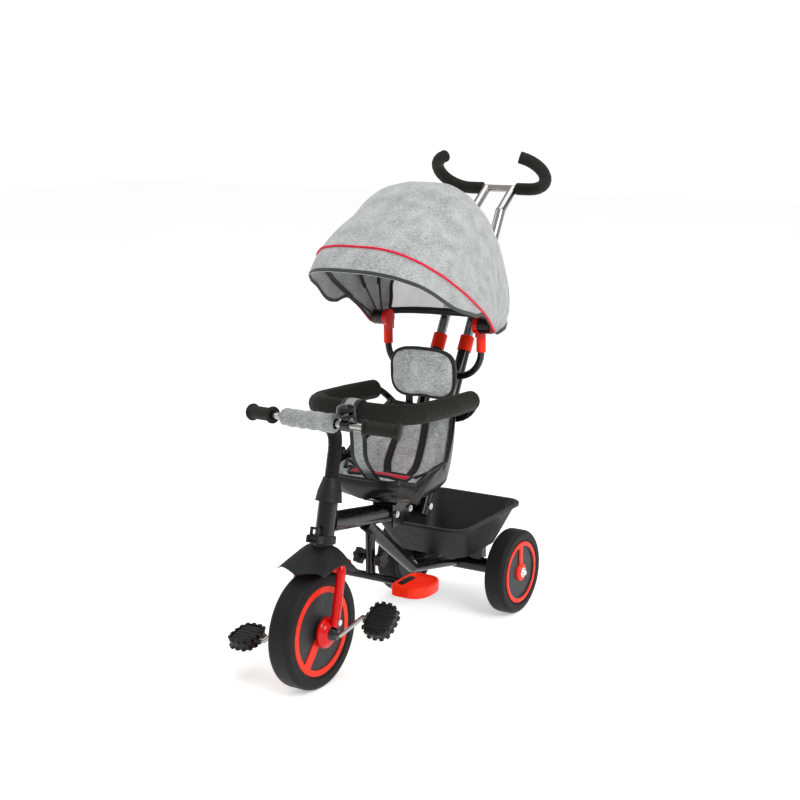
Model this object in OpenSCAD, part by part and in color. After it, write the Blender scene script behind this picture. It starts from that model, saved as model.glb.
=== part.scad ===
// Children's push tricycle: pedal front wheel, two rear wheels, bucket seat with
// harness and armrest ring, folding canopy, storage tub and parent handle.
// Millimetres. +Z is up, the tricycle faces -Y, +X is the rider's left.
// Lengths along Y are counted back from the front axle, then moved by origin_y.

/* [Wheels] */
// Outer radius of the front tyre
front_r = 127; // [105:1:155]
// Width of the front tyre
front_w = 56; // [46:1:67]
// Outer radius of a rear tyre
rear_r = 101.6; // [85:0.2:122]
// Width of a rear tyre
rear_w = 51; // [42:1:61]
// Distance from the front axle to the rear axle
wheelbase = 613; // [570:1:735]
// Distance from the middle plane to the middle of a rear tyre
track_half = 152; // [140:1:182]
// Radius of an axle rod
axle_r = 5; // [4:0.5:6]
// Radial height of the tyre over its disc
tyre_h = 30; // [25:1:34]

/* [Steering] */
// Lean of the steering axis from the vertical, in degrees
steer_lean = 14.5; // [12:0.5:17]
// Outer radius of the head tube
head_r = 21; // [19:0.5:25]
// Length of the head tube
head_len = 97; // [81:1:116]
// Radius of the steerer inside the head tube
steerer_r = 16; // [13:0.5:17]
// Half distance between the fork legs
leg_x = 54; // [50:1:64]
// Radius of a fork leg
leg_r = 10; // [8:0.5:12]
// Half length of the handlebar, without its end caps
bar_half = 190; // [160:1:228]
// Radius of the handlebar tube
bar_r = 8; // [7:0.5:9.5]
// Outer radius of a hand grip
grip_r = 14; // [12:0.5:16]
// Outer radius of the handlebar's soft sleeve
pad_r = 20; // [17:0.5:24]
// Throw of the pedal crank
crank_throw = 48; // [40:1:56]
// Distance from the middle plane to the middle of a pedal
pedal_x = 155; // [150:1:186]
// Length of a pedal along the axle
pedal_w = 70; // [58:1:84]
// Size of a pedal from front to back
pedal_l = 84; // [70:1:90]
// Thickness of a pedal
pedal_h = 24; // [20:1:28]

/* [Seat] */
// Half width of the seat bowl at its rim
seat_half = 134; // [112:1:160]
// Wall of the seat bowl
seat_wall = 4; // [3:0.5:5]
// Thickness of the seat cushion
cushion_t = 26; // [20:1:31]
// Width of the headrest pad
headrest_w = 180; // [150:1:216]
// Height of the headrest pad
headrest_h = 126; // [105:1:150]
// Half width of the armrest ring at its middle
ring_half = 132; // [126:1:158]
// Radius of the armrest foam
foam_r = 23; // [19:0.5:27]

/* [Canopy and handle] */
// Half distance between the canopy hinges
hinge_half = 124; // [110:1:135]
// Half width of the canopy
canopy_half = 176; // [165:1:210]
// Radius of a push tube
push_r = 12; // [10:0.5:14]
// Half distance between the push tubes
push_x = 37; // [32:1:44]
// Length of the push tubes from their collars to the bend
push_len = 344; // [320:1:412]
// Radius of the handle foam
horn_r = 15; // [12.5:0.5:18]
// Radius of the bend in each handle horn
horn_bend = 63; // [52:1:75]

/* [Tub and footrests] */
// Half width of the storage tub at its rim
tub_half = 128; // [107:1:150]
// Length of the storage tub at its rim
tub_len = 296; // [246:1:340]
// Depth of the storage tub
tub_depth = 88; // [74:1:96]
// Wall of the storage tub
tub_wall = 3; // [2.5:0.5:4]
// Length of a footrest across the tricycle
rest_w = 78; // [65:1:92]
// Size of a footrest from front to back
rest_l = 104; // [86:1:124]

/* [Hidden] */
$fn = 64;

slip = 0.08;      // radial clearance of a running fit
gap = 0.3;        // gap between neighbours that move or press softly
fit = 0.05;       // clearance between pieces fixed to each other

// Places along the steering axis, counted up from the front axle
crown_s = front_r + 31;
head_s = crown_s + leg_r + 5;
collar_s = head_s + head_len + 3.3;
collar_len = 52;
bellows_s = collar_s + collar_len;
stem_top_s = bellows_s + 56;

// Handlebar
bar_y = 29;
bar_z = front_r + 448;
bar_kink = 92;
bar_sweep = 17.3;
bar_drop = 4.3;
bell_x = 78;
bell_r = 22;

// Main beam and rear frame
beam_r = 22;
beam_front = [0, 68, 346];
beam_rear = [0, 398, 292];
low_r = 15;
low_top = [0, 205, 306];
low_knee = [0, 400, 150];
low_end = [0, wheelbase - 14, rear_r + 6];
housing_r = 18;
post_y = 225;
bar_rest_z = 178;

// Push handle: the line of its tubes, in the YZ plane
push_tilt = 29.5;
collar_y = 591;
collar_z = 651;
socket_r = push_r + 2.5;
socket_len = 420;
push_inside = 200;
socket_bolt_s = socket_len - 22;
kink_y = collar_y + push_len * sin(push_tilt);
kink_z = collar_z + push_len * cos(push_tilt);
kink_tilt = 53.4;
kink_len = 82;
handle_y = kink_y + kink_len * sin(kink_tilt);
handle_z = kink_z + kink_len * cos(kink_tilt);
cross_r = 9;
horn_tilt = 48;

// The middle of the whole tricycle, from the front axle
origin_y = -(handle_y + horn_r - front_r) / 2;

// Canopy: reach of the fabric from its hinge line at each angle above the front
hinge_y = 500;
hinge_z = 716;
fabric_t = 2.5;
canopy_n = 3;
function reach(a) = lookup(a, [[15, 394], [23.5, 391], [32.7, 376], [45, 347], [57.7, 325], [72, 321],
    [86, 318], [100, 290], [114, 248], [128, 212], [145, 170], [162, 132], [180, 106]]);

// Turns and places
module place() translate([0, origin_y, 0]) children();
module steer(s) place() translate([0, 0, front_r]) rotate([-steer_lean, 0, 0])
    translate([0, 0, s]) children();
module both() { children(); mirror([1, 0, 0]) children(); }
module along_x(x0, x1, r) translate([x0, 0, 0]) rotate([0, 90, 0]) cylinder(h = x1 - x0, r = r);
module push_line(s) place() translate([0, collar_y, collar_z]) rotate([-push_tilt, 0, 0])
    translate([0, 0, s]) children();

// A straight round bar between two points
module rod(a, b, r) {
    d = b - a;
    len = norm(d);
    translate(a) rotate([0, acos(d.z / len), atan2(d.y, d.x)]) cylinder(h = len, r = r);
}

// Unit vector, and the direction of a path at point i
function unit(v) = v / norm(v);
function dir(p, i) = unit(p[min(i + 1, len(p) - 1)] - p[max(i - 1, 0)]);

// A round tube carried along a path that lies near the plane square to side
module sweep(p, r, side, n = 16) {
    m = len(p);
    pts = [for (i = [0:m - 1]) let (t = dir(p, i), s = unit(side - t * (side * t)), u = cross(t, s))
        for (k = [0:n - 1]) let (a = 360 * k / n) p[i] + r * (cos(a) * s + sin(a) * u)];
    sides = [for (i = [0:m - 2]) for (k = [0:n - 1]) let (l = (k + 1) % n)
        for (f = [[i * n + k, (i + 1) * n + l, i * n + l],
            [i * n + k, (i + 1) * n + k, (i + 1) * n + l]]) f];
    ends = [[for (k = [0:n - 1]) k], [for (k = [n - 1:-1:0]) (m - 1) * n + k]];
    polyhedron(pts, concat(sides, ends));
}

// A closed slab between two curved faces; each is a function of u and v from 0 to 1
module slab(nu, nv, top, under) {
    w = nu + 1;
    h = nv + 1;
    pts = concat([for (j = [0:nv]) for (i = [0:nu]) top(i / nu, j / nv)],
        [for (j = [0:nv]) for (i = [0:nu]) under(i / nu, j / nv)]);
    b = w * h;
    quads = [for (j = [0:nv - 1]) for (i = [0:nu - 1]) let (q = j * w + i) [q, q + 1, q + w + 1, q + w]];
    up = [for (q = quads) for (f = [[q[0], q[2], q[1]], [q[0], q[3], q[2]]]) f];
    dn = [for (q = quads) for (f = [[b + q[0], b + q[1], b + q[2]], [b + q[0], b + q[2], b + q[3]]]) f];
    rim = concat([for (i = [0:nu]) i], [for (j = [1:nv]) j * w + nu],
        [for (i = [nu - 1:-1:0]) nv * w + i], [for (j = [nv - 1:-1:1]) j * w]);
    k = len(rim);
    wall = [for (i = [0:k - 1]) let (a = rim[i], c = rim[(i + 1) % k])
        for (f = [[a, c, b + a], [c, b + c, b + a]]) f];
    polyhedron(pts, concat(up, dn, wall));
}

// Point at t of the smooth curve from a to d that leaves towards b and arrives from c
function bend_point(a, b, c, d, t) = let (m = 1 - t)
    m * m * m * a + 3 * m * m * t * b + 3 * m * t * t * c + t * t * t * d;

// Points of an arc in the plane of two unit vectors
function arc(c, r, e1, e2, a0, a1, n) =
    [for (i = [0:n]) let (a = a0 + (a1 - a0) * i / n) c + r * (cos(a) * e1 + sin(a) * e2)];

// ---- Rear frame -------------------------------------------------------------

// Height of the main beam's middle line
beam_fall = (beam_front.z - beam_rear.z) / (beam_rear.y - beam_front.y);
function beam_at(y) = beam_front.z - (y - beam_front.y) * beam_fall;

module main_frame() color("#161616") place() {
    difference() {
        union() {
            rod(beam_front, beam_rear, beam_r);
            rod(low_top, low_knee, low_r);
            translate(low_knee) sphere(r = low_r + 0.02);
            rod(low_knee, low_end, low_r);
            translate([0, 0, front_r]) rotate([-steer_lean, 0, 0])
                translate([0, 0, head_s]) cylinder(h = head_len, r = head_r);
        }
        translate([0, 0, front_r]) rotate([-steer_lean, 0, 0])
            translate([0, 0, head_s - 20]) cylinder(h = head_len + 40, r = steerer_r + slip);
        translate([0, wheelbase, rear_r]) along_x(-60, 60, housing_r + fit);
    }
    rod([0, post_y, bar_rest_z + 9.2], [0, post_y, beam_at(post_y) - beam_r + 5], 11);
}

module head_rings() color("#2a2a2a") {
    steer(head_s - 4.6) ring(head_r - 1, steerer_r + slip, 4.5);
    steer(head_s + head_len + 0.1) ring(head_r - 1, steerer_r + slip, 3);
}

module ring(ro, ri, h) difference() {
    cylinder(h = h, r = ro);
    translate([0, 0, -1]) cylinder(h = h + 2, r = ri);
}

housing_half = track_half - rear_w / 2 - 6;

module axle_housing() color("#141414") place() translate([0, wheelbase, rear_r]) difference() {
    along_x(-housing_half, housing_half, housing_r);
    along_x(-housing_half - 1, housing_half + 1, axle_r + fit);
}

axle_half = track_half + rear_w / 2 + 6;

module rear_axle() color("#b8b8ba") place() translate([0, wheelbase, rear_r])
    along_x(-axle_half, axle_half, axle_r);

rest_in = 62;

// The knuckle at each end of the bar carries the pin on which a footrest folds up
knuckle_x = rest_in + 30;
knuckle_z = 4;
knuckle_r = 6;
pin_r = 3;
pin_half = 24;

module foot_bar() color("#121212") place() translate([0, post_y, bar_rest_z]) {
    along_x(-knuckle_x + 4, knuckle_x - 4, 9);
    both() translate([knuckle_x, 0, knuckle_z]) rotate([90, 0, 0]) {
        cylinder(h = 30, r = knuckle_r, center = true);
        cylinder(h = 2 * pin_half, r = pin_r, center = true);
    }
}

bracket_y = 318;
bracket_z = 343;

module seat_bracket() color("#181818") place() difference() {
    union() {
        translate([-44, bracket_y - 52, bracket_z - 5]) cube([88, 104, 4.5]);
        both() translate([beam_r + 1, bracket_y - 40, bracket_z - 62]) cube([4, 80, 60]);
    }
    for (y = [-28, 28]) translate([0, bracket_y + y, bracket_z - 34])
        along_x(-50, 50, 4 + fit);
}

module seat_bolts() color("#c4c4c6") {
    place() for (y = [-28, 28]) translate([0, bracket_y + y, bracket_z - 34]) both() {
        along_x(beam_r + 0.8, beam_r + 12, 4);
        along_x(beam_r + 5.1, beam_r + 10, 7.5);
    }
    both() push_line(-socket_bolt_s) along_x(push_x + socket_r + fit, push_x + socket_r + 5, 7.5);
}

module frame_knobs() color("#101010") place() {
    translate([0, post_y, bar_rest_z + 44]) both() {
        along_x(11.2, 22, 6);
        translate([22, 0, 0]) star_knob(19, 14);
    }
}

// A hand knob with six lobes round its edge
module star_knob(r, h) rotate([0, 90, 0]) union() {
    cylinder(h = h, r = r - 4);
    for (k = [0:5]) rotate(60 * k) translate([r - 5, 0, 0]) cylinder(h = h, r = 5);
}

tub_y = 412;
tub_z = 250;

module tub_block(grow, z0, z1) hull() {
    for (e = [[0, z1], [1, z0]]) let (k = e[0], w = tub_half - 30 * k + grow,
        y0 = tub_y + 56 * k - grow, y1 = tub_y + tub_len - 66 * k + grow, c = 40 - 8 * k + grow)
        for (x = [-w + c, w - c]) for (y = [y0 + c, y1 - c])
            translate([x, y, e[1]]) cylinder(h = 0.5, r = c, $fn = 32);
}

module tub() color("#262626") place() difference() {
    union() {
        tub_block(0, tub_z - tub_depth, tub_z - 0.5);
        translate([0, 0, tub_z - 6]) tub_rim();
    }
    tub_block(-tub_wall, tub_z - tub_depth + tub_wall, tub_z - 0.4);
}

module tub_rim() linear_extrude(6) hull()
    for (x = [-1, 1]) for (y = [tub_y - 6 + 44, tub_y + tub_len + 6 - 44])
        translate([x * (tub_half + 6 - 44), y]) circle(r = 44, $fn = 48);

stay_low = rear_r + housing_r + fit;

// Two flat stays that carry the tub over the rear axle, on a strap across the housing
module tub_stays() color("#1c1c1c") place() both() {
    translate([46, wheelbase - 14, stay_low]) cube([26, 28, tub_z - tub_depth - stay_low - fit]);
}

module push_sockets() color("#111111") {
    both() push_line(-socket_len) translate([push_x, 0, 0]) difference() {
        cylinder(h = socket_len - 1, r = socket_r);
        translate([0, 0, -1]) cylinder(h = socket_len + 2, r = push_r + slip);
    }
    push_line(-70) along_x(-push_x + push_r + 1, push_x - push_r - 1, 9);
}

module push_collars() color("#e8381c") both() push_line(-18) translate([push_x, 0, 0])
    difference() {
        cylinder(h = 36, r = socket_r + 2.5);
        translate([0, 0, -1]) cylinder(h = 18, r = socket_r + fit);
        translate([0, 0, 1]) cylinder(h = 40, r = push_r + slip);
    }

// ---- Seat -------------------------------------------------------------------

// Middle line of the bowl from its front edge to the top of its back: place and slope
seat_line = [[200, 404], [214, 366], [250, 351], [318, 348], [368, 360], [396, 402], [432, 462], [470, 528]];
seat_widths = [0.62, 0.86, 0.97, 1, 1, 0.95, 0.82, 0.62];
seat_rises = [8, 44, 72, 88, 80, 62, 40, 16];
function pick(list, v) = let (n = len(list) - 1, s = min(v * n, n - 0.0001), i = floor(s), f = s - i)
    list[i] * (1 - f) + list[i + 1] * f;
function smooth_pick(list, v) =
    (pick(list, max(0, v - 0.05)) + 2 * pick(list, v) + pick(list, min(1, v + 0.05))) / 4;
function seat_slope(v) =
    let (d = smooth_pick(seat_line, min(1, v + 0.02)) - smooth_pick(seat_line, max(0, v - 0.02)))
    d / norm(d);
// Point of the bowl: u runs across from 0 to 1, v from front to back, lift moves it inwards
function seat_point(u, v, lift, shrink = 1) =
    let (c = smooth_pick(seat_line, v), t = seat_slope(v), w = seat_half * smooth_pick(seat_widths, v),
        e = (2 * u - 1) * shrink, rise = smooth_pick(seat_rises, v) * pow(abs(e), 3),
        lean = 62 * pow(abs(e), 2.2), n = [-t.y, t.x])
    [w * sin(90 * e) - sign(e) * lift * sin(lean),
        c.x + n.x * (rise + lift * cos(lean)), c.y + n.y * (rise + lift * cos(lean))];

module seat_shell() color("#151515") place()
    slab(20, 22, function(u, v) seat_point(u, v, 0), function(u, v) seat_point(u, v, -seat_wall));

function cushion_v(v) = 0.09 + 0.86 * v;

module seat_cushion() color("#9a9a9c") place() slab(16, 18,
    function(u, v) seat_point(u, cushion_v(v),
        1.6 + cushion_t * (0.35 + 0.65 * pow(sin(180 * u), 0.5)), 0.93),
    function(u, v) seat_point(u, cushion_v(v), 3.6, 0.93));

// Two shoulder straps lying on the backrest
module harness() color("#101010") place() both()
    slab(2, 8, function(u, v) seat_point(0.62 + 0.09 * u, 0.6 + 0.32 * v, cushion_t + 4.2),
        function(u, v) seat_point(0.62 + 0.09 * u, 0.6 + 0.32 * v, cushion_t + 1.9));

module buckle() color("#141414") place() slab(2, 2,
    function(u, v) seat_point(0.44 + 0.12 * u, 0.4 + 0.1 * v, cushion_t + 14),
    function(u, v) seat_point(0.44 + 0.12 * u, 0.4 + 0.1 * v, cushion_t + 2.1));

strap_w = 46;

// ---- Armrest ring -----------------------------------------------------------

ring_y = 172;
ring_back = 448;
ring_z = 568;
ring_fall = 0.06;
function ring_at(x, y) = [x, y, ring_z - ring_fall * (y - ring_y)];
function ring_path(n) = let (c = 78, w = ring_half)
    concat([ring_at(w, ring_back), ring_at(w + 5, (ring_back + ring_y + c) / 2)],
        [for (i = [0:n]) let (a = 90 * i / n) ring_at(w - c + c * cos(a), ring_y + c - c * sin(a))],
        [for (i = [n:-1:0]) let (a = 90 * i / n) ring_at(-w + c - c * cos(a), ring_y + c - c * sin(a))],
        [ring_at(-w - 5, (ring_back + ring_y + c) / 2), ring_at(-w, ring_back)]);

module ring_foam() color("#1a1a1a") place() sweep(ring_path(6), foam_r, [0, 0, 1], 16);

// The ring's tube bends down behind the foam and is clamped to the side of the seat back
ring_end = ring_at(ring_half, ring_back + 1.4);
ring_foot_z = 490;
ring_foot = [push_x + socket_r + 0.6, collar_y + (ring_foot_z - collar_z) * tan(push_tilt), ring_foot_z];

module ring_tubes() color("#111111") place() both()
    sweep([for (i = [0:10])
        bend_point(ring_end, ring_end + [-1.4, 46, -2.8], ring_foot + [52, 0, 0], ring_foot, i / 10)],
        8, [0, 0.6, 0.8], 16);

// Webbing loop round the ring's front, and its tail down to the front of the cushion
module crotch_strap() color("#8c8c8e") place() {
    r = foam_r + 1;
    translate([0, ring_y, ring_z]) difference() {
        along_x(-strap_w / 2, strap_w / 2, r + 3);
        along_x(-strap_w / 2 - 1, strap_w / 2 + 1, r);
    }
    a = [0, ring_y + 9, ring_z - r - 1.2];
    b = seat_point(0.5, 0.17, cushion_t + 4);
    d = unit(b - a);
    slab(1, 4, function(u, v) a + v * (b - a) + [strap_w * (0.5 - u), 0, 0] + [0, 1.5 * d.z, -1.5 * d.y],
        function(u, v) a + v * (b - a) + [strap_w * (0.5 - u), 0, 0] - [0, 1.5 * d.z, -1.5 * d.y]);
}

// ---- Headrest ---------------------------------------------------------------

head_z = 602;
stay_x = 51;
stay_y = 477;
stay_w = 18;
stay_t = 4;
head_t = 25;
stay_from = 490;
head_y = stay_y - stay_t / 2 - head_t / 2 - fit;
guide_v = 0.925;

// Channels behind the seat back; their front faces lie along the shell
module headrest_guides() color("#141414") place() both() difference() {
    a = seat_point(0.66, guide_v, -seat_wall - 0.9);
    b = seat_point(0.66, guide_v + 0.055, -seat_wall - 0.9);
    translate([stay_x - 14, 0, 0]) rotate([90, 0, 90]) linear_extrude(28)
        polygon([[a.y, a.z], [stay_y + 7, a.z], [stay_y + 7, b.z], [b.y, b.z]]);
    translate([stay_x - stay_w / 2 - gap, stay_y - stay_t / 2 - gap, a.z - 50])
        cube([stay_w + 2 * gap, stay_t + 2 * gap, 120]);
}

module headrest_stays() color("#0f0f0f") place() both()
    translate([stay_x - stay_w / 2, stay_y - stay_t / 2, stay_from])
        cube([stay_w, stay_t, head_z - stay_from]);

module headrest_pad() color("#98989a") place() translate([0, head_y + head_t / 2, head_z]) rotate([90, 0, 0])
    linear_extrude(head_t) rounded(headrest_w, headrest_h, 44);

module rounded(w, h, r) hull() for (x = [-1, 1]) for (y = [-1, 1])
    translate([x * (w / 2 - r), y * (h / 2 - r)]) circle(r = r);

// ---- Canopy -----------------------------------------------------------------

hoop_r = 8;
hoop_x = hinge_half + 2;
hoop_z = 592;
hoop_y = hinge_y + 6;
hoop_bend = 62;

module canopy_hoop() color("#111111") place() {
    c = hoop_bend;
    translate([0, hoop_y, hoop_z]) along_x(-hoop_x + c, hoop_x - c, hoop_r);
    both() {
        translate([hoop_x - c, hoop_y, hoop_z + c]) rotate([90, 0, 0]) rotate(-90)
            rotate_extrude(angle = 90) translate([c, 0]) circle(r = hoop_r);
        rod([hoop_x, hoop_y, hoop_z + c], [hoop_x, hoop_y, hinge_z - 22], hoop_r);
        socket_face = collar_y + (hoop_z - 7 - collar_z) * tan(push_tilt) - socket_r / cos(push_tilt);
        lug_y = hoop_y + hoop_r - 2;
        translate([push_x - 9, lug_y, hoop_z - 7]) cube([18, socket_face - 0.2 - lug_y, 14]);
    }
}

module canopy_sleeves() color("#f03a20") place() both() {
    low = hoop_z + hoop_bend + gap;
    translate([hoop_x, hoop_y, low]) ring(11, hoop_r + fit, hinge_z - 30 - gap - low);
}

module hinge_cups() color("#d81414") place() both() translate([0, hinge_y, hinge_z]) difference() {
    union() {
        along_x(hoop_x - 10, cup_end, 20);
        translate([hoop_x - 10, hoop_y - hinge_y - 11, -28]) cube([cup_end - hoop_x + 10, 22, 20]);
        translate([hoop_x, hoop_y - hinge_y, -30]) cylinder(h = 11.5, r = 11);
        along_x(cup_end - 1, cup_end + 31, hinge_pin_r);
        along_x(cup_end + 29.8, cup_end + 34, 13);
    }
    translate([hoop_x, hoop_y - hinge_y, -40]) cylinder(h = 18 + fit, r = hoop_r + fit);
}

// Half widths of the three fabric panels at the hinge and across the top: front, middle, rear
fold_gap = 8.5;
panel_x = [hinge_half + 37, hinge_half + 26, hinge_half + 17];
cup_end = hoop_x + 2;
hinge_pin_r = 5;

// Point of fabric panel k at angle a over the front: t runs across from 0 to 1
function dome(t, a, k, grow) = let (r0 = reach(a) - k * fold_gap + grow, e = 2 / canopy_n,
        q = acos(pow(24 / r0, 1 / e)) * (2 * t - 1), s = sin(q), c = pow(cos(q), e), x0 = panel_x[k] + grow,
        x1 = canopy_half - k * fold_gap + grow, w = x0 + (x1 - x0) * (1 - pow(1 - c, 4)))
    [w * sign(s) * pow(abs(s), e), hinge_y - r0 * c * cos(a), hinge_z + r0 * c * sin(a)];

module shell(a0, a1, nv, k) place() slab(24, nv,
    function(t, v) dome(t, a0 + (a1 - a0) * v, k, 0),
    function(t, v) dome(t, a0 + (a1 - a0) * v, k, -fabric_t));

front_a = 21;
mid_a = 52;
rear_a = 84;
edge_a = 180;

module canopy_front() color("#a4a4a6") shell(front_a, mid_a, 5, 0);
module canopy_mid() color("#a4a4a6") shell(mid_a - 2, rear_a, 6, 1);
module canopy_rear() color("#a4a4a6") shell(rear_a - 2, edge_a, 14, 2);

// A wire that follows the inside of panel k at angle a, between discs on the hinge pins
bow_r = 2.2;

module bow(a, k, x0, x1, bore) place() difference() {
    union() {
        m = (x0 + x1) / 2;
        foot = [m, hinge_y - 13 * cos(a), hinge_z + 13 * sin(a)];
        wire = [for (i = [0:24]) dome(i / 24, a, k, -fabric_t - bow_r - 0.9)];
        sweep(concat([[-foot.x, foot.y, foot.z]], wire, [foot]), bow_r, [0, sin(a), cos(a)], 10);
        both() translate([0, hinge_y, hinge_z]) along_x(x0, x1, 18);
    }
    both() translate([0, hinge_y, hinge_z]) along_x(x0 - 1, x1 + 1, bore);
}

module canopy_rear_bow() color("#151515")
    bow(rear_a + 8, 2, cup_end + 0.4, cup_end + 13.6, hinge_pin_r + fit);
module canopy_mid_bow() color("#151515")
    bow(mid_a + 9, 1, cup_end + 14, cup_end + 23.4, hinge_pin_r + slip);
module canopy_front_bow() color("#151515")
    bow(front_a + 12, 0, cup_end + 23.8, cup_end + 29.4, hinge_pin_r + slip);

// ---- Push handle ------------------------------------------------------------

module push_tubes() color("#c9c9cc") {
    both() {
        push_line(-push_inside) translate([push_x, 0, 0]) cylinder(h = push_inside + push_len, r = push_r);
        place() rod([push_x, kink_y, kink_z], [push_x, handle_y, handle_z], push_r - 1);
        push_line(push_len) translate([push_x, 0, 0]) sphere(r = push_r + 0.02);
    }
    place() translate([0, handle_y, handle_z]) along_x(-push_x - 40, push_x + 40, cross_r);
}

horn_up = [0, -sin(horn_tilt), cos(horn_tilt)];
horn_start = [push_x + 44, handle_y, handle_z];

module push_grips() color("#191919") place() both() difference() {
    sweep(concat([[push_x + push_r - 1 + gap, handle_y, handle_z], horn_start - [1, 0, 0]],
        arc(horn_start + horn_bend * horn_up, horn_bend, -horn_up, [1, 0, 0], 0, 160, 12)),
        horn_r, cross(horn_up, [1, 0, 0]), 16);
    translate([0, handle_y, handle_z]) along_x(0, push_x + 40 + fit, cross_r + fit);
}

// ---- Fork and handlebar -----------------------------------------------------

leg_foot = 16;
crown_bend = 30;

module fork() color("#d80c10") {
    steer(0) both() {
        translate([leg_x, 0, leg_foot]) cylinder(h = crown_s - crown_bend - leg_foot, r = leg_r);
        translate([leg_x - crown_bend, 0, crown_s - crown_bend]) rotate([90, 0, 0])
            rotate_extrude(angle = 90) translate([crown_bend, 0]) circle(r = leg_r);
    }
    steer(crown_s) along_x(crown_bend - leg_x, leg_x - crown_bend, leg_r);
    steer(crown_s) cylinder(h = collar_s - crown_s + 30, r = steerer_r);
}

cover_in = front_w / 2 + 2;
cover_out = leg_x - leg_r + 6;

module hub_covers() color("#dc1012") place() translate([0, 0, front_r]) both() difference() {
    rotate([0, 90, 0]) union() {
        translate([0, 0, cover_in]) cylinder(h = 6, r = 34);
        translate([0, 0, cover_in + 5.9]) cylinder(h = cover_out - cover_in - 6, r1 = 34, r2 = 22);
        translate([0, 0, cover_out - 1]) cylinder(h = 14, r = 10);
    }
    along_x(cover_in - 1, cover_out + 20, axle_r + slip);
    rotate([-steer_lean, 0, 0]) translate([leg_x, 0, leg_foot]) cylinder(h = 60, r = leg_r + fit);
}

module leg_bolts() color("#c6c6c8") steer(leg_foot + 10) both() {
    along_x(leg_x + leg_r + fit, leg_x + leg_r + 3.5, 6.5);
}

function fender(x, f, grow) =
    let (hump = 32 * exp(-pow(abs(x) / 52, 4)) * exp(-pow((f - steer_lean) / 15, 2)),
        rho = front_r + 25 + hump - 9 * pow(abs(x) / 60, 8) + grow)
    [x, rho * sin(f), front_r + rho * cos(f)];
fender_half = leg_x + 6;
fender_from = -15;
fender_to = 50;

module mudguard() color("#222222") {
    difference() {
        place() slab(16, 18, function(u, v) fender(fender_half * (2 * u - 1), fender_edge(u, v), 0),
            function(u, v) fender(fender_half * (2 * u - 1), fender_edge(u, v), -2.5));
        steer(crown_s) cylinder(h = 60, r = head_r + 1.5);
    }
}

// The fender's outline: a pointed nose in front and a round tail behind
function fender_edge(u, v) =
    let (x = 2 * u - 1, a = fender_from - 8 * pow(1 - abs(x), 1.5), b = fender_to - 12 * pow(abs(x), 3))
    a + (b - a) * v;

module stem_collar() color("#1d1d1d") steer(collar_s) difference() {
    union() {
        cylinder(h = 22, r1 = 29, r2 = 26);
        translate([0, 0, 21.99]) cylinder(h = collar_len - 22, r1 = 26, r2 = 17);
    }
    translate([0, 0, -1]) cylinder(h = 33, r = steerer_r + slip);
    translate([0, 0, 20]) cylinder(h = collar_len, r = bellows_r + 0.5);
}

function axis_at(s) = [0, s * sin(steer_lean), front_r + s * cos(steer_lean)];
bellows_r = 15;
stem_bend = axis_at(stem_top_s);
stem_r = 9;
stem_end = [0, bar_y + pad_r + 1, bar_z - 8];
function stem_curve(n) = let (a = stem_bend, b = stem_bend + 46 * [0, sin(steer_lean), cos(steer_lean)],
        d = stem_end, c = stem_end + [0, 34, -13])
    [for (i = [0:n]) bend_point(a, b, c, d, i / n)];

module stem_bellows() color("#161616") place()
    sweep(concat([axis_at(bellows_s - 16), axis_at((bellows_s + stem_top_s) / 2)], stem_curve(9)),
        bellows_r, [1, 0, 0], 18);

// The end of the handlebar, which starts at the kink and points outwards
module bar_end(s) place() translate([bar_kink, bar_y, bar_z])
    rotate([0, 0, bar_sweep]) rotate([0, 90 + bar_drop, 0])
    translate([0, 0, s]) children();
end_len = (bar_half - bar_kink) / cos(bar_sweep);

module handlebar() color("#cacacc") {
    place() translate([0, bar_y, bar_z]) along_x(-bar_kink, bar_kink, bar_r);
    both() {
        bar_end(0) cylinder(h = end_len, r = bar_r);
        place() translate([bar_kink, bar_y, bar_z]) sphere(r = bar_r + 0.02);
    }
    place() rod([0, bar_y, bar_z], stem_end - [0, 0.4, 0], stem_r);
}

sleeve_from = -84;

module bar_sleeve() color("#9c9c9e") place() translate([0, bar_y, bar_z]) difference() {
    along_x(sleeve_from, bell_x - bell_r - 4, pad_r);
    along_x(sleeve_from - 5, bell_x, bar_r + gap);
    rod([0, 0, 0], 2 * (stem_end - [0, bar_y, bar_z]), stem_r + gap);
}

grip_from = 24;

module grips() color("#151515") both() difference() {
    union() {
        bar_end(grip_from) cylinder(h = end_len - grip_from + 3, r = grip_r);
        bar_end(grip_from) cylinder(h = 5, r = grip_r + 4.5);
        bar_end(end_len + 2) cylinder(h = 8, r1 = grip_r + 5, r2 = grip_r);
        bar_end(end_len - 6) cylinder(h = 8.01, r1 = grip_r, r2 = grip_r + 5);
    }
    bar_end(-10) cylinder(h = end_len + 10 + fit, r = bar_r + fit);
}

module bell_base() color("#131313") place() translate([bell_x, bar_y, bar_z]) difference() {
    union() {
        along_x(-9, 9, bar_r + 5);
        translate([0, 0, bar_r + 4]) cylinder(h = 8, r = 9);
        translate([0, 0, bar_r + 11]) cylinder(h = 20, r1 = bell_r, r2 = bell_r - 3);
        translate([0, 0, bar_r + 30.99]) cylinder(h = 5, r1 = bell_r - 3, r2 = 8);
    }
    along_x(-20, 20, bar_r + fit);
    translate([0, -bell_r - 1, bar_r + 17]) cube([20, 20, 6]);
}

module bell_lever() color("#161616") place()
    translate([bell_x + 8, bar_y - bell_r + 7, bar_z + bar_r + 17.4]) difference() {
    union() {
        cylinder(h = 5.2, r = 4.5);
        translate([0, -22, 0]) cube([8, 22, 5.2]);
        translate([4, -22, 0]) cylinder(h = 5.2, r = 7);
    }
}

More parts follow.
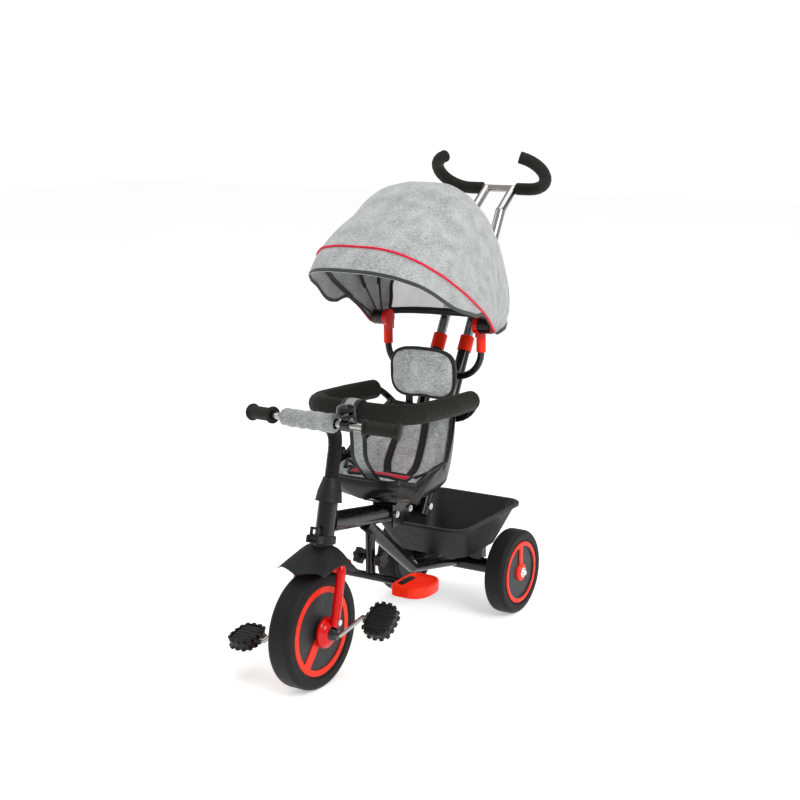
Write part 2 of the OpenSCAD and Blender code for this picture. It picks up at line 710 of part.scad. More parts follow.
// Lock on the foot of the head tube, with a wire-loop handle that swings down
module steer_block() color("#141414") steer(head_s + 12) difference() {
    union() {
        ring(head_r + 5, head_r + fit, 16);
        translate([-16, -head_r - 22, 0]) cube([32, 20, 16]);
    }
    translate([0, 0, -1]) cylinder(h = 30, r = head_r + fit);
    translate([-11, -head_r - 23, 4]) cube([22, 12, 20]);
}

module steer_lever() color("#0f0f0f") steer(head_s + 24) translate([0, -head_r - 16.5, -4]) difference() {
    union() {
        along_x(-10.5, 10.5, 3.5);
        translate([-10.5, -3, 0]) cube([21, 6, 26]);
    }
    translate([-6, -10, 6]) cube([12, 20, 15]);
}

// ---- Front wheel ------------------------------------------------------------

module tyre(r, w, h) rotate([0, 90, 0]) rotate_extrude() union() {
    c = 12;
    polygon([[r - h, -w / 2 + 4], [r - h + 6, -w / 2], [r - c, -w / 2],
        [r - c, w / 2], [r - h + 6, w / 2], [r - h, w / 2 - 4]]);
    translate([r - c - 1, -w / 2 + c]) square([c + 1, w - 2 * c]);
    for (y = [-1, 1]) translate([r - c, y * (w / 2 - c)]) circle(r = c);
}

module disc(r, w, bore, hub_half) rotate([0, 90, 0]) difference() {
    union() {
        cylinder(h = w, r = r, center = true);
        cylinder(h = 2 * hub_half, r = 20, center = true);
    }
    cylinder(h = 200, r = bore, center = true);
}

disc_w = front_w - 12;
hub_half_front = front_w / 2 + 1;

module front_tyre() color("#1a1a1a") place() translate([0, 0, front_r]) tyre(front_r, front_w, tyre_h);
module front_disc() color("#24262a") place() translate([0, 0, front_r])
    disc(front_r - tyre_h - slip, disc_w, axle_r + fit, hub_half_front);

// A flat ring with one broad spoke, on both faces of the disc
module trim(r, w, x, hub, a) both() translate([x, 0, 0]) rotate([0, 90, 0]) difference() {
    union() {
        ring(r, r - 13, 2.5);
        rotate(a) translate([hub + 2, -w / 2, 0]) cube([r - hub - 8, w, 2.5]);
    }
    translate([0, 0, -1]) cylinder(h = 5, r = hub);
}

module front_trim() color("#ee3a1e") place() translate([0, 0, front_r])
    trim(front_r - tyre_h - 0.5, 22, disc_w / 2 + 0.02, 21, -42);

boss_out = leg_x + 16;
crank_x = pedal_x - pedal_w / 2 - 10;
crank_tilt = -36;

// The axle and both cranks are one bent rod; the arms stand opposite each other
module crank() color("#bdbdc0") place() translate([0, 0, front_r]) {
    along_x(-boss_out, boss_out, axle_r);
    for (m = [0, 1]) rotate([crank_tilt + 180 * m, 0, 0]) mirror([m, 0, 0]) {
        rod([boss_out - 0.1, 0, 0], [crank_x, 0, crank_throw], axle_r);
        translate([boss_out, 0, 0]) sphere(r = axle_r + 0.02);
        translate([crank_x, 0, crank_throw]) sphere(r = axle_r + 0.02);
        translate([0, 0, crank_throw]) along_x(crank_x, pedal_x + pedal_w / 2 - 4, axle_r);
    }
}

// A pedal on the crank arm that stands at angle arm, with its tread turned to angle tilt
module pedal(arm, tilt) place() translate([0, 0, front_r]) rotate([arm, 0, 0])
    translate([pedal_x, 0, crank_throw]) rotate([tilt - arm, 0, 0]) pedal_body();
module pedal_left() color("#141414") pedal(crank_tilt, 38);
module pedal_right() color("#141414") mirror([1, 0, 0]) pedal(crank_tilt + 180, 10);
module pedal_body() difference() {
    intersection() {
        translate([0, 0, -pedal_h / 2]) cylinder(h = pedal_h, r = pedal_l / 2);
        translate([-pedal_w / 2, -pedal_l, -pedal_h]) cube([pedal_w, 2 * pedal_l, 2 * pedal_h]);
    }
    along_x(-pedal_w, pedal_w / 2 - 4 + gap, axle_r + slip);
}

// ---- Rear wheels ------------------------------------------------------------

rear_disc_w = rear_w - 8;
rear_hub = rear_w / 2 + 1;

module rear_spot(x) place() translate([x, wheelbase, rear_r]) children();
module rear_tyre_left() color("#1a1a1a") rear_spot(track_half) tyre(rear_r, rear_w, tyre_h - 4);
module rear_tyre_right() color("#1a1a1a") rear_spot(-track_half) tyre(rear_r, rear_w, tyre_h - 4);
module rear_disc() {
    disc(rear_r - tyre_h + 4 - slip, rear_disc_w, axle_r + slip, rear_hub);
    trim(rear_r - tyre_h + 3.5, 15, rear_disc_w / 2 - 0.01, 21, 170);
}
module rear_disc_left() color("#24262a") rear_spot(track_half) rear_disc();
module rear_disc_right() color("#24262a") rear_spot(-track_half) rear_disc();

module rear_caps() color("#c8c8ca") place() both()
    translate([track_half + rear_hub + gap, wheelbase, rear_r]) rotate([0, 90, 0]) difference() {
    union() {
        cylinder(h = 3, r = 12);
        translate([0, 0, 2.99]) cylinder(h = 6, r1 = 9, r2 = 6);
    }
    translate([0, 0, -1]) cylinder(h = axle_half - track_half - rear_hub - gap + 1 + fit, r = axle_r + fit);
}

// ---- Footrests --------------------------------------------------------------

// Flat plate with a deep skirt and a round outer end, open below, on its fold pin
module footrest() translate([rest_in + 24, post_y, bar_rest_z]) difference() {
    translate([0, 0, rest_top - rest_h]) linear_extrude(rest_h) rest_outline(0);
    translate([0, 0, rest_top - rest_h - 1]) linear_extrude(rest_h - 3) intersection() {
        rest_outline(4);
        translate([24, -rest_l]) square([rest_w, 2 * rest_l]);
    }
    translate([-1, -15 - gap, -50]) cube([knuckle_x - rest_in - 23 + 8, 30 + 2 * gap, 100]);
    translate([knuckle_x - rest_in - 24, 0, knuckle_z]) rotate([90, 0, 0])
        cylinder(h = 2 * pin_half + 1, r = pin_r + slip, center = true);
}

rest_h = 24;
rest_top = 10;

module rest_outline(inset) {
    c = rest_w - rest_l / 2;
    translate([inset, -rest_l / 2 + inset]) square([c - inset, rest_l - 2 * inset]);
    intersection() {
        translate([c, 0]) circle(r = rest_l / 2 - inset);
        translate([c - 1, -rest_l]) square([rest_l, 2 * rest_l]);
    }
}

module footrest_left() color("#e62c18") place() footrest();
module footrest_right() color("#e62c18") place() mirror([1, 0, 0]) footrest();

main_frame();
head_rings();
axle_housing();
rear_axle();
foot_bar();
seat_bracket();
seat_bolts();
frame_knobs();
tub();
tub_stays();
push_sockets();
push_collars();
seat_shell();
seat_cushion();
harness();
buckle();
crotch_strap();
ring_tubes();
ring_foam();
headrest_guides();
headrest_stays();
headrest_pad();
canopy_hoop();
canopy_sleeves();
hinge_cups();
canopy_rear_bow();
canopy_rear();
canopy_mid_bow();
canopy_mid();
canopy_front_bow();
canopy_front();
push_tubes();
push_grips();
fork();
hub_covers();
leg_bolts();
mudguard();
stem_collar();
stem_bellows();
handlebar();
bar_sleeve();
grips();
bell_base();
bell_lever();
steer_block();
steer_lever();
front_tyre();
front_disc();
front_trim();
crank();
pedal_left();
pedal_right();
rear_tyre_left();
rear_disc_left();
rear_tyre_right();
rear_disc_right();
rear_caps();
footrest_left();
footrest_right();
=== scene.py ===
"""Looks of a child's push tricycle: canopy, cushions, foam, straps and finishes over its fixed frame."""

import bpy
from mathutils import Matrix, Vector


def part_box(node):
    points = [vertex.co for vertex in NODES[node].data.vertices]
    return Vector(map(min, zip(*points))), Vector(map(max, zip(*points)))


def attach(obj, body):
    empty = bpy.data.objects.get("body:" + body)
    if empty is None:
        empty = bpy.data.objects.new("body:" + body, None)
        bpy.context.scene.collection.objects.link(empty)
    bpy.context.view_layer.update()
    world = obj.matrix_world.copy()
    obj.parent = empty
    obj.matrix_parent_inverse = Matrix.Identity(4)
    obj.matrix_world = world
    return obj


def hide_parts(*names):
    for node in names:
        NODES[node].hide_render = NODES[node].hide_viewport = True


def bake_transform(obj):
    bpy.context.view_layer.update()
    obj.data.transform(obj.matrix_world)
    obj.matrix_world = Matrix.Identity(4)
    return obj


bl_info = {
    "name": "Push tricycle",
    "version": (1, 0, 0),
    "blender": (4, 5, 0),
    "location": "3D View > Sidebar > Tricycle",
    "description": "Builds the fabrics, foams and finishes of a child's push tricycle",
    "category": "Object",
}

import bmesh
import bpy
import numpy as np
from mathutils import Matrix, Vector

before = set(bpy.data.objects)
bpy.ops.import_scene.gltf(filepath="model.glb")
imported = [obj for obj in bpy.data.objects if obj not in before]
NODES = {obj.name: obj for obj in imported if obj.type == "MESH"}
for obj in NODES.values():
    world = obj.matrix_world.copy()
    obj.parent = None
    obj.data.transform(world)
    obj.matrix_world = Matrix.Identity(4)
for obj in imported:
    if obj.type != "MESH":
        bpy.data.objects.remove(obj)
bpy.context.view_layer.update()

MM = 0.001
WELD = 2e-6  # points nearer than this, in metres, are merged
SLIVER = 1e-7  # edges shorter than this, in metres, are dissolved


def middle(node):
    """The middle of a node's box at rest, in metres."""
    low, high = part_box(node)
    return (np.array(low) + np.array(high)) / 2


AXLE = middle("front_tyre")
AXLE_HEIGHT = round(AXLE[2] / MM, 1)


def row(points):
    """Millimetres back from the front axle and up from the floor, turned into metres of the row frame."""
    return np.asarray(points, float) * MM + np.array([0.0, AXLE[1], 0.0])


def measured(node):
    """Middle and half sizes of a node's box at rest, in mm counted back from the front axle."""
    low, high = (np.array(corner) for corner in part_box(node))
    return ((low + high) / 2 - (0.0, AXLE[1], 0.0)) / MM, (high - low) / 2 / MM


# ---- Sizes and colours a user may change --------------------------------------------------


class TricycleSizes(bpy.types.PropertyGroup):
    """Sizes of the soft pieces."""

    cloth: bpy.props.FloatProperty(
        name="Cloth", description="Thickness of the canopy cloth", default=1.4 * MM, unit="LENGTH")
    piping: bpy.props.FloatProperty(
        name="Piping", description="Radius of the canopy's coloured piping", default=2.6 * MM, unit="LENGTH")
    binding: bpy.props.FloatProperty(
        name="Binding", description="Half width of the dark edge binding", default=4.4 * MM, unit="LENGTH")
    seam: bpy.props.FloatProperty(
        name="Seam", description="Radius of the piping on the cushions", default=4.0 * MM, unit="LENGTH")
    swell: bpy.props.FloatProperty(
        name="Swell", description="Most that a cushion may swell", default=6.0 * MM, unit="LENGTH")
    ridge: bpy.props.FloatProperty(
        name="Ridge", description="Pitch of the ridges on the stem's sleeve", default=4.4 * MM, unit="LENGTH")


def colour(name, what, value):
    """A colour property with its name, description and default."""
    return bpy.props.FloatVectorProperty(
        name=name, description=what, subtype="COLOR", size=3, min=0.0, max=1.0, default=value)


class TricycleColours(bpy.types.PropertyGroup):
    """Colours of the finishes, in linear values."""

    cloth_light: colour("Cloth, light yarn", "Light yarn of the grey cloth", (0.48, 0.49, 0.488))
    cloth_dark: colour("Cloth, dark yarn", "Dark yarn of the grey cloth", (0.165, 0.170, 0.173))
    crimson: colour("Crimson", "Piping and seat panel", (0.62, 0.008, 0.035))
    orange: colour("Orange", "Collars, sleeves, footrests and wheel rings", (0.80, 0.022, 0.004))
    red: colour("Red", "Fork and hub covers", (0.56, 0.0015, 0.002))
    black: colour("Black", "Painted frame", (0.0035, 0.0035, 0.004))
    plastic: colour("Plastic", "Moulded black parts", (0.0055, 0.0055, 0.0055))
    foam: colour("Foam", "Foam sleeves and grips", (0.0065, 0.0065, 0.0058))
    tyre: colour("Tyre", "Foam tyres", (0.005, 0.005, 0.005))


# ---- Meshes from arrays ---------------------------------------------------------------------


def quads(rows, columns):
    """Corner numbers of every cell of a grid of rows by columns points, row after row."""
    a = np.arange(rows - 1)[:, None] * columns + np.arange(columns - 1)[None, :]
    return np.stack([a, a + 1, a + columns + 1, a + columns], -1).reshape(-1, 4)


def piece(name, points, faces, material, uv=None):
    """A smooth mesh object from its points in metres, its four-cornered faces and a map place for each point.
    Doubled points are merged and the faces are turned outwards."""
    points = np.asarray(points, np.float32).reshape(-1, 3)
    faces = np.asarray(faces, np.int32)
    mesh = bpy.data.meshes.new(name)
    mesh.vertices.add(len(points))
    mesh.vertices.foreach_set("co", points.ravel())
    mesh.loops.add(faces.size)
    mesh.loops.foreach_set("vertex_index", faces.ravel())
    mesh.polygons.add(len(faces))
    mesh.polygons.foreach_set("loop_start", np.arange(0, faces.size, 4, dtype=np.int32))
    mesh.update(calc_edges=True)
    if uv is not None:
        layer = mesh.uv_layers.new(name="Cloth")
        flat = np.asarray(uv, np.float32).reshape(-1, 2)[faces.ravel()]
        layer.data.foreach_set("uv", flat.ravel())
    shape = bmesh.new()
    shape.from_mesh(mesh)
    bmesh.ops.remove_doubles(shape, verts=shape.verts, dist=WELD)
    bmesh.ops.dissolve_degenerate(shape, dist=SLIVER, edges=shape.edges)
    bmesh.ops.recalc_face_normals(shape, faces=shape.faces)
    shape.to_mesh(mesh)
    shape.free()
    mesh.polygons.foreach_set("use_smooth", np.ones(len(mesh.polygons), bool))
    obj = bpy.data.objects.new(name, mesh)
    bpy.context.scene.collection.objects.link(obj)
    mesh.materials.append(material)
    return obj


def grid(name, points, material, uv=None):
    """A piece from a whole grid of points, rows by columns by 3."""
    points = np.asarray(points, float)
    return piece(name, points, quads(*points.shape[:2]), material, uv)


def unit(v):
    """Each vector divided by its length."""
    v = np.asarray(v, float)
    return v / np.maximum(np.linalg.norm(v, axis=-1, keepdims=True), 1e-12)


def powered(v, power):
    """The size of each value raised to a power, with its sign kept."""
    return np.sign(v) * np.abs(v) ** power


def heading(path):
    """Direction of a path at each of its points: the difference of its neighbours."""
    return unit(np.gradient(np.asarray(path, float), axis=0))


def run_along(path):
    """Length of a path from its start to each of its points."""
    return np.concatenate([[0], np.cumsum(np.linalg.norm(np.diff(path, axis=0), axis=1))])


def smooth_path(points, count):
    """A curve through the given points: a cubic through each span, resampled at equal lengths."""
    p = np.asarray(points, float)
    q = np.vstack([2 * p[0] - p[1], p, 2 * p[-1] - p[-2]])
    s = np.linspace(0, len(p) - 1 - 1e-9, 40 * len(p))
    i = s.astype(int)
    t = (s - i)[:, None]
    a, b, c, d = q[i], q[i + 1], q[i + 2], q[i + 3]
    fine = 0.5 * (2 * b + (c - a) * t + (2 * a - 5 * b + 4 * c - d) * t**2 + (3 * b - a - 3 * c + d) * t**3)
    run = run_along(fine)
    want = np.linspace(0, run[-1], count)
    return np.stack([np.interp(want, run, fine[:, k]) for k in range(3)], -1)


def along(path, section, side):
    """A section carried along a path: point = path + first * across + second * up, where across is side
    made square to the path and up is square to both. Section is rings by points by 2."""
    path = np.asarray(path, float)
    t = heading(path)
    side = np.broadcast_to(np.asarray(side, float), path.shape)
    across = unit(side - t * np.sum(side * t, -1, keepdims=True))
    up = np.cross(t, across)
    section = np.asarray(section, float)
    if section.ndim == 2:
        section = np.broadcast_to(section, (len(path), *section.shape))
    return path[:, None] + section[..., :1] * across[:, None] + section[..., 1:] * up[:, None]


def circle(radius, sides):
    """A closed ring of a radius that may differ for each ring: radius times cosine and sine."""
    a = np.linspace(0, 2 * np.pi, sides + 1)
    return np.asarray(radius, float)[..., None, None] * np.stack([np.cos(a), np.sin(a)], -1)


TIP_RINGS = 10  # rings that round off each end of a hose or band


def rounded_run(path, radius, end, side):
    """A path resampled close together near both ends, with the radius that rounds them off:
    radius * sqrt(1 - (1 - s / end)^2) within end of either tip, its lengths s and its side directions."""
    path = np.asarray(path, float)
    side = np.broadcast_to(np.asarray(side, float), path.shape)
    run = run_along(path)
    length = run[-1]
    lip = end * (1 - np.cos(np.linspace(0, np.pi / 2, TIP_RINGS)))
    s = np.concatenate([lip, run[(run > end) & (run < length - end)], length - lip[::-1]])
    near = np.clip(1 - np.minimum(s, length - s) / end, 0, 1)
    r = np.interp(s, run, np.broadcast_to(radius, run.shape)) * np.sqrt(1 - near**2)
    points, sides = (np.stack([np.interp(s, run, v[:, k]) for k in range(3)], -1) for v in (path, side))
    return points, r, s, sides


def hose(name, path, radius, side, material, sides=20, end=None):
    """A round tube with rounded tips along a path in metres."""
    end = float(np.max(radius)) * 0.6 if end is None else end
    points, r, s, side = rounded_run(path, radius, end, side)
    p = along(points, circle(r, sides), side)
    turn = np.broadcast_to(np.linspace(0, 1, sides + 1) * 2 * np.pi * np.max(radius), p.shape[:2])
    return grid(name, p, material, np.stack([turn, np.broadcast_to(s[:, None], p.shape[:2])], -1))


def ribbon(name, path, half, thick, side, material, sides=16):
    """A flat band with round edges along a path: a ring with a wide and a thin half size, whose wide part is
    the cosine raised to a power under one."""
    points, r, s, side = rounded_run(path, 1.0, thick, side)
    ring = circle(r, sides)
    flat = powered(ring[..., :1], 0.55) * half
    p = along(points, np.concatenate([flat, ring[..., 1:] * thick], -1), side)
    u = np.broadcast_to(np.linspace(0, 2 * half, sides + 1), p.shape[:2])
    return grid(name, p, material, np.stack([u, np.broadcast_to(s[:, None], p.shape[:2])], -1))


def turned(name, profile, origin, axis, material, sides=96, wave=None):
    """A profile of places and radii in mm turned about an axis through origin:
    point = origin + place * axis + radius * (cosine * side + sine * up). Wave changes the radius by angle."""
    profile = np.asarray(profile, float)
    axis = unit(axis)
    side = unit(np.cross(axis, [0.0, 0.0, 1.0]) if abs(axis[2]) < 0.9 else np.cross(axis, [0.0, 1.0, 0.0]))
    up = np.cross(axis, side)
    a = np.linspace(0, 2 * np.pi, sides + 1)
    r = np.broadcast_to(profile[:, 1:2], (len(profile), sides + 1)).copy()
    if wave is not None:
        r = r + wave(np.arange(len(profile))[:, None], a[None, :]) * (r > 1e-6)
    p = (np.asarray(origin, float) + profile[:, :1, None] * axis
         + r[..., None] * (np.cos(a)[None, :, None] * side + np.sin(a)[None, :, None] * up))
    return grid(name, row(p), material)


def settled(obj):
    """The piece with its modifiers worked into its mesh."""
    bpy.context.view_layer.update()
    graph = bpy.context.evaluated_depsgraph_get()
    shown = obj.evaluated_get(graph)
    mesh = bpy.data.meshes.new_from_object(shown, preserve_all_data_layers=True, depsgraph=graph)
    obj.modifiers.clear()
    obj.data = mesh
    mesh.polygons.foreach_set("use_smooth", np.ones(len(mesh.polygons), bool))
    return obj


def walled(obj, thickness, offset=0.0):
    """A sheet given its thickness, half to each side, or all of it inwards at an offset of -1."""
    wall = obj.modifiers.new("Wall", "SOLIDIFY")
    wall.thickness = thickness
    wall.offset = offset
    return settled(obj)


def joined(name, loose):
    """Several loose pieces made into one object."""
    bpy.ops.object.select_all(action="DESELECT")
    for p in loose:
        p.select_set(True)
    whole = loose[0]
    bpy.context.view_layer.objects.active = whole
    bpy.ops.object.join()
    whole.name = name
    whole.data.name = name
    return whole


# ---- Finishes -------------------------------------------------------------------------------


BAND_SCALE = 2 / 6.283  # this over a pitch in metres is the wave texture's scale for bands a pitch apart
WEAVE = 0.0016  # pitch of the grey cloth's weave, in metres


class Finish:
    """A material under construction: its nodes are added and linked by short calls."""

    def __init__(self, name):
        self.material = bpy.data.materials.new(name)
        self.material.use_nodes = True
        self.tree = self.material.node_tree
        self.shader = self.tree.nodes["Principled BSDF"]

    def add(self, kind, **settings):
        """A node; names with inputs_ set a socket, and the rest set a property."""
        node = self.tree.nodes.new(kind)
        for key, value in settings.items():
            if key.startswith("inputs_"):
                node.inputs[key[7:].replace("_", " ")].default_value = value
            else:
                setattr(node, key, value)
        return node

    def link(self, source, target):
        """Joins one socket to another."""
        self.tree.links.new(source, target)

    def place(self, cloth=False, scale=(1, 1, 1)):
        """Object coordinates, or the piece's own map, stretched by scale."""
        where = self.add("ShaderNodeTexCoord")
        mapping = self.add("ShaderNodeMapping")
        mapping.inputs["Scale"].default_value = scale
        self.link(where.outputs["UV" if cloth else "Object"], mapping.inputs["Vector"])
        return mapping.outputs["Vector"]

    def noise(self, where, scale, detail=3.0, rough=0.55):
        """Value of a cloudy pattern."""
        node = self.add("ShaderNodeTexNoise", inputs_Scale=scale, inputs_Detail=detail,
                        inputs_Roughness=rough)
        self.link(where, node.inputs["Vector"])
        return node.outputs["Fac"]

    def spread(self, value, low, high, start=0.3, stop=0.7):
        """A value moved from start..stop to low..high."""
        node = self.add("ShaderNodeMapRange", inputs_From_Min=start, inputs_From_Max=stop,
                        inputs_To_Min=low, inputs_To_Max=high)
        self.link(value, node.inputs["Value"])
        return node.outputs["Result"]

    def between(self, value, first, second):
        """A colour between two by value."""
        node = self.add("ShaderNodeMix", data_type="RGBA")
        node.inputs[6].default_value = (*first, 1)
        node.inputs[7].default_value = (*second, 1)
        self.link(value, node.inputs[0])
        return node.outputs[2]

    def maths(self, what, a, b):
        """Arithmetic on two values, each a socket or a number."""
        node = self.add("ShaderNodeMath", operation=what)
        for k, v in enumerate((a, b)):
            if isinstance(v, (int, float)):
                node.inputs[k].default_value = v
            else:
                self.link(v, node.inputs[k])
        return node.outputs["Value"]

    def bump(self, height, depth, strength=1.0):
        """Fine relief of a depth in metres."""
        node = self.add("ShaderNodeBump", inputs_Distance=depth, inputs_Strength=strength)
        self.link(height, node.inputs["Height"])
        self.link(node.outputs["Normal"], self.shader.inputs["Normal"])

    def set(self, **values):
        """Constants set straight on the shader."""
        for key, value in values.items():
            self.shader.inputs[key.replace("_", " ")].default_value = value


def tint(c, factor):
    """A colour made lighter or darker."""
    return tuple(min(1.0, x * factor) for x in c)


def painted(name, c, rough=0.2):
    """Powder coat: a faint orange peel, dusty patches in its gloss and a clear coat."""
    f = Finish(name)
    at = f.place()
    f.link(f.between(f.noise(at, 14.0), tint(c, 0.86), tint(c, 1.14)), f.shader.inputs["Base Color"])
    f.link(f.spread(f.noise(at, 60.0, 4.0), rough * 0.75, rough * 1.5), f.shader.inputs["Roughness"])
    f.bump(f.noise(at, 620.0, 2.0), 0.00006, 0.5)
    f.set(Coat_Weight=0.3, Coat_Roughness=0.06, Specular_IOR_Level=0.25)
    return f.material


def moulded(name, c, rough=0.42, grain=1500.0, depth=0.00012, coat=0.0, shine=0.28):
    """Moulded plastic: a fine grain, handling marks in its gloss and faint cloudiness in its colour."""
    f = Finish(name)
    at = f.place()
    f.link(f.between(f.noise(at, 22.0, 4.0), tint(c, 0.84), tint(c, 1.2)), f.shader.inputs["Base Color"])
    f.link(f.spread(f.noise(at, 90.0, 5.0, 0.7), rough * 0.8, rough * 1.25), f.shader.inputs["Roughness"])
    f.bump(f.noise(at, grain, 2.0), depth, 0.35)
    f.set(Coat_Weight=coat, Coat_Roughness=0.12, Specular_IOR_Level=shine)
    return f.material


def foamed(name, c, rough=0.78, grain=700.0):
    """Foam: fine open cells, a soft sheen and worn patches that are a little paler."""
    f = Finish(name)
    at = f.place()
    cells = f.add("ShaderNodeTexVoronoi", inputs_Scale=grain)
    f.link(at, cells.inputs["Vector"])
    f.link(f.between(f.noise(at, 30.0, 5.0, 0.65), tint(c, 0.8), tint(c, 1.75)),
           f.shader.inputs["Base Color"])
    f.link(f.spread(f.noise(at, 120.0), rough * 0.85, rough * 1.12), f.shader.inputs["Roughness"])
    height = f.maths("ADD", cells.outputs["Distance"], f.noise(at, grain * 0.35, 3.0))
    f.bump(height, 0.00022, 0.5)
    f.set(Sheen_Weight=0.05, Sheen_Roughness=0.4, Specular_IOR_Level=0.2)
    return f.material


def polished(name, c, rough=0.14, stretch=(60, 60, 900)):
    """Bright tube: drawing lines round it and haze in its polish."""
    f = Finish(name)
    f.link(f.spread(f.noise(f.place(scale=stretch), 1.0, 4.0), rough * 0.6, rough * 2.1),
           f.shader.inputs["Roughness"])
    at = f.place()
    f.link(f.between(f.noise(at, 35.0, 3.0), tint(c, 0.86), c), f.shader.inputs["Base Color"])
    f.bump(f.noise(at, 900.0, 2.0), 0.00002, 0.3)
    f.set(Metallic=1.0)
    return f.material


def woven(name, light, dark, pitch, cloth, depth=0.00035, sheen=0.35):
    """Mottled cloth: two yarns mixed in short streaks, and a plain weave in its relief. The weave is the
    product of two sets of bands, a pitch apart."""
    f = Finish(name)
    fine = f.noise(f.place(cloth, (430, 260, 430)), 1.0, 4.0, 0.75)
    cross = f.noise(f.place(cloth, (110, 520, 260)), 1.0, 4.0, 0.8)
    cloud = f.noise(f.place(cloth), 26.0, 3.0)
    streaks = f.maths("MULTIPLY", f.maths("ADD", fine, cross), 0.42)
    mix = f.maths("ADD", streaks, f.maths("MULTIPLY", cloud, 0.16))
    f.link(f.between(f.spread(mix, 0.0, 1.0, 0.42, 0.57), dark, light), f.shader.inputs["Base Color"])
    bands = []
    for direction in ("X", "Y"):
        wave = f.add("ShaderNodeTexWave", bands_direction=direction, inputs_Scale=BAND_SCALE / pitch,
                     inputs_Distortion=0.6, inputs_Detail=1.0, inputs_Detail_Scale=3.0)
        f.link(f.place(cloth), wave.inputs["Vector"])
        bands.append(wave.outputs["Fac"])
    height = f.maths("ADD", f.maths("MULTIPLY", bands[0], bands[1]), f.maths("MULTIPLY", fine, 0.7))
    f.bump(height, depth, 0.6)
    f.link(f.spread(fine, 0.82, 0.97), f.shader.inputs["Roughness"])
    f.set(Sheen_Weight=sheen, Sheen_Roughness=0.45, Specular_IOR_Level=0.25)
    return f.material


def webbing(name, c, pitch=0.0016):
    """Woven band: ribs across its length, from its own map, and a dull sheen."""
    f = Finish(name)
    at = f.place(cloth=True)
    wave = f.add("ShaderNodeTexWave", bands_direction="Y", inputs_Scale=BAND_SCALE / pitch,
                 inputs_Distortion=1.2, inputs_Detail=2.0)
    f.link(at, wave.inputs["Vector"])
    speck = f.noise(f.place(cloth=True), 900.0, 3.0, 0.7)
    f.link(f.between(f.maths("MULTIPLY", wave.outputs["Fac"], speck), tint(c, 0.7), tint(c, 1.9)),
           f.shader.inputs["Base Color"])
    f.bump(f.maths("ADD", wave.outputs["Fac"], speck), 0.0003, 0.6)
    f.link(f.spread(speck, 0.7, 0.9), f.shader.inputs["Roughness"])
    f.set(Sheen_Weight=0.2, Specular_IOR_Level=0.3)
    return f.material


def netting(name):
    """White net: round holes in a close pattern, seen through, and threads between them."""
    f = Finish(name)
    hole = f.add("ShaderNodeTexVoronoi", inputs_Scale=330.0, inputs_Randomness=0.0)
    f.link(f.place(cloth=True), hole.inputs["Vector"])
    thread = f.spread(hole.outputs["Distance"], 0.0, 1.0, 0.28, 0.36)
    f.link(thread, f.shader.inputs["Alpha"])
    f.link(f.between(f.noise(f.place(cloth=True), 1400.0), (0.74, 0.75, 0.75), (0.86, 0.86, 0.86)),
           f.shader.inputs["Base Color"])
    f.bump(hole.outputs["Distance"], 0.0003, 0.4)
    f.set(Roughness=0.7, Sheen_Weight=0.1)
    return f.material


def floor_white(name):
    """Nearly white floor, with the faintest clouding."""
    f = Finish(name)
    f.set(Roughness=0.9, Specular_IOR_Level=0.1, Emission_Color=(1, 1, 1, 1), Emission_Strength=0.41)
    cloud = f.spread(f.noise(f.place(), 0.8), 0.0, 1.0)
    f.link(f.between(cloud, (0.93, 0.93, 0.93), (0.95, 0.95, 0.95)), f.shader.inputs["Base Color"])
    return f.material


FINISH = {}


def make_finishes(c):
    """Every finish, from the user's colours. Cloth on a piece with its own map follows that map, and cloth on
    the other pieces follows their Object coordinates."""

    def grey(name, light, dark, mapped):
        return woven(name, tint(c.cloth_light, light), tint(c.cloth_dark, dark), WEAVE, mapped)

    FINISH.update({
        "cloth": grey("Grey cloth", 1.0, 1.0, True),
        # The cushions' cloth is the same grey cloth made 1.4 times lighter: painted light on the seat and
        # headrest.
        "cloth_painted_light": grey("Grey cushion cloth with painted light", 1.4, 1.4, False),
        "sleeve": grey("Grey sleeve cloth", 0.92, 0.9, True),
        "sleeve_object": grey("Grey gathered cloth", 0.78, 0.72, False),
        "floor": floor_white("Pale floor"),
        "crimson": woven("Crimson cloth", tint(c.crimson, 1.1), tint(c.crimson, 0.75), 0.0014, False,
                         0.0002, 0.15),
        "crimson_cord": woven("Crimson piping", tint(c.crimson, 1.15), tint(c.crimson, 0.8), 0.0012, True,
                              0.0003, 0.2),
        "webbing": webbing("Black webbing", (0.012, 0.012, 0.013)),
        "binding": webbing("Dark binding", (0.030, 0.031, 0.032), 0.0012),
        "net": netting("White net"),
        "frame": painted("Black frame paint", tuple(c.black)),
        "red": painted("Red paint", tuple(c.red), 0.16),
        "red_gloss": moulded("Red plastic", tuple(c.red), 0.2, 900.0, 0.00004, 0.25, 0.2),
        "orange": moulded("Orange plastic", tuple(c.orange), 0.34, 900.0, 0.00005, 0.1, 0.14),
        "plastic": moulded("Black plastic", tuple(c.plastic), 0.4),
        "gloss": moulded("Black gloss plastic", tint(c.plastic, 0.7), 0.16, 900.0, 0.00003, 0.4),
        "shell": moulded("Bowl plastic", tint(c.plastic, 0.8), 0.3, 1200.0, 0.00008, 0.2),
        "tub": moulded("Tub plastic", tint(c.plastic, 1.05), 0.5, 1000.0, 0.0002),
        "disc": moulded("Wheel disc plastic", (0.020, 0.022, 0.024), 0.45, 1100.0, 0.0001),
        "guard": moulded("Mudguard plastic", tint(c.plastic, 1.25), 0.5, 1000.0, 0.0002),
        "foam": foamed("Foam sleeve", tuple(c.foam)),
        "grip": foamed("Soft grip", tint(c.foam, 0.9), 0.55, 1200.0),
        "tyre": foamed("Tyre foam", tuple(c.tyre), 0.62, 1500.0),
        "tube": polished("Bright tube", (0.40, 0.395, 0.39)),
        "bolt": polished("Zinc bolt", (0.72, 0.72, 0.73), 0.26, (300, 300, 300)),
    })


